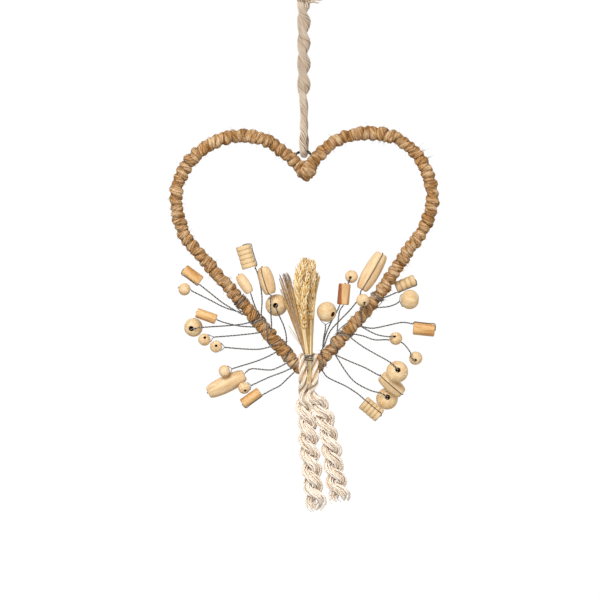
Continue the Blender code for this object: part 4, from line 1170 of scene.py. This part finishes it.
class Limb:
    """One straight limb of the heart and the wire wound on it, crossing by crossing."""

    def __init__(self, start, end, inner_side, crossings):
        self.start = spot(*start)
        self.along = (spot(*end) - self.start).normalized()
        square = self.along.cross(Vector((0, 1, 0)))
        self.inwards = square if square.x * inner_side > 0 else -square
        self.radius = WRAP_RADIUS + WIRE_OVER_WRAP
        self.winding = []
        for (outer, inner), (following, _) in zip(crossings, crossings[1:] + crossings[-1:]):
            for start_angle, down, next_down in ((-90, outer, inner), (90, inner, following)):
                for step in range(WINDING_STEPS):
                    share = step / WINDING_STEPS
                    angle = math.radians(start_angle + 180 * share)
                    self.winding.append(self.at(down + (next_down - down) * share, angle))

    def at(self, down, angle):
        return round_tube(self.start + self.along * down, self.inwards, self.radius, angle)

    def foot(self, u, v):
        """The place on the front of the wrapping where a stem ends in the photograph."""
        reach = spot(u, v) - self.start
        side = max(-0.97, min(0.97, reach.dot(self.inwards) / self.radius))
        return self.at(reach.dot(self.along), math.asin(side))

    def kept_clear(self, point):
        """The point, moved towards the viewer where it would run into the wrapping."""
        side = (point - self.start).dot(self.inwards)
        if abs(side) >= self.radius:
            return point
        front = -math.sqrt(self.radius ** 2 - side ** 2)
        return Vector((point.x, min(point.y, front), point.z))


def stem_route(bead, pixels, limb, fork, corner):
    """The stem of one bead from its near end to the winding, and the wire's two ends at the bead."""
    middle = spot(bead.u, bead.v, bead.back)
    bore = bore_line(bead)
    out = spot(*pixels[0][:2], bead.back) - middle
    if bead.hole is None and bore.dot(out) > 0:
        bore = -bore
    far = middle + bore * bead.length / 2
    near = middle - bore * (bead.length / 2 + WIRE_PAST_BEAD)
    if corner:
        near = spot(*corner, bead.back)
    if fork:
        near = spot(*fork, bead.back)
        pixels = [pixel for pixel in pixels if math.dist(pixel[:2], fork) > FORK_CLEAR]
    foot = limb.foot(*pixels[-1][:2])
    route = [near]
    for place, pixel in enumerate(pixels[:-1]):
        share = (place + 1) / len(pixels)
        back = pixel[2] if len(pixel) > 2 else near.y + (foot.y - near.y) * share
        route.append(spot(pixel[0], pixel[1], back))
    route.append(foot)
    line = smooth_route(route, 0.00028)
    line = np.array([tuple(limb.kept_clear(Vector(point))) for point in line])
    return line, near, far


def bead_loop(weave, name, near, far):
    """The single wire that goes over the outside of the bead and into the far end of its bore."""
    bead = BEADS[name]
    middle = spot(bead.u, bead.v, bead.back)
    bore = (far - middle).normalized()
    aside = Vector((0, -1, 0)) - bore * -bore.y
    aside = aside.normalized() if aside.length > 0.3 else bore.orthogonal().normalized()
    over = math.radians(OVER_BEAD.get(name, 170.0))
    side = math.cos(over) * aside + math.sin(over) * bore.cross(aside)
    outline = lathe_profile(name, bead)[1:-1:2]
    if bead.form != "oval":
        outline = [(bead.width / 2, bead.length * share) for share in (-0.47, -0.2, 0.2, 0.47)]
    over_it = [middle + bore * height + side * (radius + STEM_WIRE * 0.28) for radius, height in outline]
    end = [far + bore * STEM_WIRE * 0.3, middle + bore * bead.length * 0.3]
    start = [] if (over_it[0] - near).length < 0.0015 else [near]
    weave.tube(smooth_route([*start, *over_it, *end], 0.0004), STEM_WIRE * 0.30, 6, 0.25)


def ball_fork(weave, bead, fork):
    """Two single wires that part at the end of a stem and go round behind the ball."""
    middle = spot(bead.u, bead.v, bead.back)
    away = Vector((fork.x - middle.x, 0, fork.z - middle.z)).normalized()
    around = away.cross(Vector((0, 1, 0)))
    reach = bead.width / 2 + STEM_WIRE * 0.3
    for side in (-1, 1):
        line = [fork]
        for angle, behind in ((30, 0.1), (45, 0.6), (60, 1.2)):
            way = (math.cos(math.radians(angle)) * away + side * math.sin(math.radians(angle)) * around
                   + Vector((0, behind, 0)))
            line.append(middle + reach * way.normalized())
        weave.tube(smooth_route(line, 0.0004), STEM_WIRE * 0.28, 6, 0.3)


def stem_wires(side, stems, limb, finish):
    """The wires of one side: twisted stems, loops round the beads and the winding on the limb."""
    weave = Weave()
    half = STEM_WIRE * 0.30
    for name, pixels in stems.items():
        fork = FORKS.get(name)
        line, near, far = stem_route(BEADS[name], pixels, limb, fork, CORNERS.get(name))
        twisted_pair(weave, line, half, start=draw.uniform(0, TURN))
        if fork:
            ball_fork(weave, BEADS[name], near)
        elif BEADS[name].hole is None:
            bead_loop(weave, name, near, far)
    winding = smooth_route(limb.winding, 0.0003)
    step = np.array(tuple(limb.along))
    reached = reached_along(winding)
    # The second wire of the winding is given a lighter tone, as painted highlight.
    for shift, seed, tone in ((-0.0006, 1.0, 0.3), (0.0006, 3.0, 0.75)):
        swayed = winding + step * (shift + wobble(reached, 90.0, seed, 0.0012))[:, None]
        weave.tube(swayed, STEM_WIRE * 0.25, 6, tone)
    weave.finished(f"wires_{side}", finish, [f"stem_wire_{side}"], "stem_wire")


def wire_eye(finish):
    """The doubled wire arch over the cleft that carries the cord."""
    radius = WRAP_RADIUS + WIRE_OVER_WRAP
    hooks = []
    for pixel, lobe_next in ((EYE_LEFT, LEFT_LOBE[0]), (EYE_RIGHT, RIGHT_LOBE[0])):
        away = (spot(*lobe_next) - spot(*CLEFT)).normalized()
        up = away.cross(Vector((0, 1, 0)))
        up = up if up.z > 0 else -up
        hooks.append([round_tube(spot(*pixel), up, radius, math.radians(angle))
                      for angle in (205, 180, 150, 120, 90)])
    left, right = hooks
    arch = [spot(*pixel) for pixel in EYE_ARCH]
    line = smooth_route([*left, *arch, *right[::-1]], 0.0003)
    weave = Weave()
    twisted_pair(weave, line, EYE_WIRE * 0.42, pitch=0.0062, tones=(0.0, 0.25))
    weave.finished("eye_wires", finish, ["wire_eye"], "stem_wire")


# Dried bunch

def dried_straw(name, pale, deep, gap_shade):
    """Dry straw: long fine ribs, golden, with painted shade where the husks face into the ear."""
    shader = Shader(name, {"Roughness": 0.7, "Specular IOR Level": 0.15})
    strand = shader.vector("strand")
    tone = shader.number("tone")
    ribs = shader.clouds(strand * (120.0, 3.4, 3.4), 1.0, 3.0, 0.6)
    patches = shader.clouds(shader.place(), 420.0, 3.0)
    share = (ribs * 0.6 + tone * 0.4 + (patches - 0.5) * 0.4).between(0.25, 0.75)
    straw = shader.blend(share, linear(pale), linear(deep))
    # Painted shade: darkened where a husk faces into the ear, and by a random share on each blade.
    shader.colour(shader.blend(shader.number("raised").between(0.35, 0.95), linear(gap_shade), straw))
    shader.bump(ribs, 0.0003, 0.5)
    return shader.material


def facing(way):
    """How much the places of a husk face a way out of the ear, from 0 to 1."""
    def measured(rings):
        out = rings - rings.mean(axis=1, keepdims=True)
        return 0.5 + 0.5 * (unit(out) @ np.array(tuple(way)))
    return measured


def husk(weave, foot, tip, half, tone, raised):
    """One plump pointed husk from its foot to its tip."""
    middle = (foot + tip) / 2
    bend = middle + Vector((0, -half * 0.5, 0))
    run = smooth_route([foot, bend, tip], (tip - foot).length / 6)
    share = np.linspace(0.0, 1.0, len(run))
    thick = half * (0.25 + 0.95 * np.sin(math.pi * share ** 0.8)) * (1 - 0.35 * share)
    thick[-1] = half * 0.08
    weave.tube(run, thick, 8, tone, flat=0.8, raised=raised)


def wheat_ear(name, plant, straw):
    """One ear: a stalk and herringbone rows of husks, some with a short awn."""
    route = smooth_route([spot(*pixel) for pixel in plant.route], 0.0008)
    reached = reached_along(route)
    shares = reached / reached[-1]
    starts = plant.swell[2][0] * 0.96
    widths = np.interp(shares, [share for share, _ in plant.swell], [width for _, width in plant.swell])
    weave = Weave()
    stalk = np.where(shares < starts, STALK_THICKNESS / 2, STALK_THICKNESS / 3)
    weave.tube(route, stalk, 7, 0.25)
    down = Vector(route[0]) + Vector((0, 0, -1)) * STALK_BELOW
    weave.tube(smooth_route([down, (down + Vector(route[0])) / 2, route[0]], 0.0015),
               STALK_THICKNESS * 0.38, 6, 0.45)
    place = starts
    row = 0
    while place < 0.985:
        here = int(place * (len(route) - 1))
        base = Vector(route[here])
        up = (Vector(route[min(here + 8, len(route) - 1)]) - Vector(route[max(here - 8, 0)])).normalized()
        across = up.cross(Vector((0, 1, 0))).normalized()
        wide = float(widths[here]) * EAR_WIDER
        for side, toward in HUSKS[row % 2]:
            length = max(0.0034, wide * 1.15)
            lean = across * side * wide * 0.66 + Vector((0, toward * wide, 0))
            foot = base + lean * 0.25
            tip = base + lean + up * length + Vector([draw.uniform(-0.0004, 0.0004) for _ in range(3)])
            out = (across * side * 0.5 + Vector((0, -1.0 if toward < 0 else 1.0, 0))).normalized()
            # The husk is painted in shade on its side that faces into the ear.
            husk(weave, foot, tip, wide * 0.24 + 0.00025, draw.uniform(0.0, 1.0), facing(out))
            if draw.random() < 0.35 and abs(side) > 0.8:
                awn = tip + (tip - foot) * draw.uniform(0.3, 0.6)
                weave.tube(smooth_route([tip, (tip + awn) / 2, awn], 0.001), 0.00016, 3, 0.3)
        place += GRAIN_STEP / reached[-1]
        row += 1
    weave.finished(f"dressed_{name}", straw, [name], "dried_grass")


def blades(fans):
    """Fans of thin stems and blades that run from the binding to their own tips.

    A fan is its count, the pixels at both ends of its feet and of its tips, how ragged the tips
    are in pixels, how far it bows to the right, its half thickness and its depth at the tips.
    """
    weave = Weave()
    for count, feet, tips, ragged, bow, half, back in fans:
        for blade in range(count):
            share = (blade + draw.uniform(-0.3, 0.3)) / max(1, count - 1)
            foot = spot(*feet[0], FANS_BACK).lerp(spot(*feet[1], FANS_BACK), share)
            tip = spot(*tips[0], back).lerp(spot(*tips[1], back), share)
            foot.y += draw.uniform(-0.0008, 0.0008)
            tip += Vector((0, draw.uniform(-0.0008, 0.0008), -draw.uniform(0.0, ragged) * PIXEL))
            sway = Vector((bow + draw.uniform(-0.0005, 0.0005), 0, 0))
            bent = [foot.lerp(tip, 0.35) + sway * 0.7, foot.lerp(tip, 0.72) + sway]
            run = smooth_route([foot, *bent, tip], 0.0015)
            reach = np.linspace(0.0, 1.0, len(run))
            thick = half * draw.uniform(0.6, 1.3) * (1.05 - 0.45 * reach)
            # Each blade takes a random share of the straw's painted shade colour.
            weave.tube(run, thick, 5, draw.random(), flat=0.5, raised=0.65 + draw.uniform(0.0, 0.35))
    return weave


def dried_bunch(wire):
    straw = dried_straw("golden_straw", "F6E2B4", "D9AC66", "8E5A26")
    leaf = dried_straw("leaf_straw", "EACD96", "C79B58", "7E5527")
    plume = dried_straw("plume_grass", "CBB7A8", "7C645A", "48332B")
    for name in ("wheat_ear_left", "wheat_ear_front", "wheat_ear_right"):
        wheat_ear(name, SPRAYS[name], straw)
    right = [(14, ((309.6, 354), (312.0, 354)), ((313.8, 266), (320.0, 274)), 5, -0.0014, 0.0008, -0.0068),
             (26, ((305.8, 354), (311.5, 354)), ((291.0, 282), (316.0, 268)), 8, -0.0004, 0.0009, -0.0075)]
    blades(right).finished("leaf_sheaf", leaf, ["wheat_leaf"], "dried_grass")
    dark = [(30, ((304.6, 354), (307.6, 354)), ((279.2, 274), (289.6, 272)), 6, 0.0, 0.0006, -0.0062)]
    blades(dark).finished("plume_stems", plume, ["grass_plume"], "dried_grass")
    golden = [(7, ((304.6, 354), (306.4, 354)), ((280.4, 287.3), (286.0, 300.0)), 5, 0.0, 0.0006, -0.0085),
              (18, ((304.6, 354), (308.0, 354)), ((279.5, 277.0), (293.0, 274.0)), 16, 0.0, 0.0004, -0.0074),
              (2, ((303.0, 347), (304.0, 349)), ((288.7, 325.0), (289.0, 329.0)), 1, 0.0, 0.0004, -0.0085)]
    blades(golden).finished("side_straws", leaf, ["grass_plume"], "dried_grass")
    binding(wire)


def binding(wire):
    """A few uneven turns of thin wire round the stalks, with a small twisted end."""
    centre = spot(BINDING_U, BINDING_V, BINDING_BACK)
    weave = Weave()
    for turn, (lower, higher, tone) in enumerate(((-0.0018, -0.0010, 0.1), (-0.0006, 0.0008, 0.4),
                                                  (0.0022, 0.0006, 0.2), (0.0024, 0.0020, 0.5))):
        points = []
        for step in range(17):
            angle = TURN * step / 16
            rise = (lower + higher) / 2 + (lower - higher) / 2 * math.cos(angle)
            radius = BINDING_RADIUS + 0.0002 * math.sin(3 * angle + turn)
            points.append(centre + Vector((radius * math.cos(angle), radius * math.sin(angle), rise)))
        weave.tube(smooth_route(points, 0.0006), BINDING_WIRE * 0.45, 6, tone)
    end = [spot(307.0, 360.0, -0.0162), spot(307.8, 366.0, -0.0165), spot(307.4, 372.0, -0.0155)]
    twisted_pair(weave, smooth_route(end, 0.0003), BINDING_WIRE * 0.3)
    weave.finished("binding_wires", wire, ["wheat_binding"], "stem_wire")


def main():
    camera()
    studio()
    cord = strand_cotton("cord_yarn", "E2D0BB", "C2A78A", "6B4C32")
    cotton = strand_cotton("rope_yarn", "FFF3E4", "F6E3CC", "CAA981")
    hanging_cord(cord)
    hanging_knot(cord)
    hanging_loop(cord)
    tassel_rope("left", ROPE_LEFT_U, ROPE_LEFT_GATHERED, LEFT_TAIL, cotton)
    tassel_rope("right", ROPE_RIGHT_U, ROPE_RIGHT_GATHERED, RIGHT_TAIL, cotton)
    jute = jute_twine()
    jute_core(jute)
    wound = jute_wrap(jute)
    loose_fibres(*wound, jute)
    beads()
    wire = dark_wire()
    wire_eye(wire)
    stem_wires("left", LEFT_STEMS, Limb(**LEFT_LIMB), wire)
    stem_wires("right", RIGHT_STEMS, Limb(**RIGHT_LIMB), wire)
    dried_bunch(wire)


main()
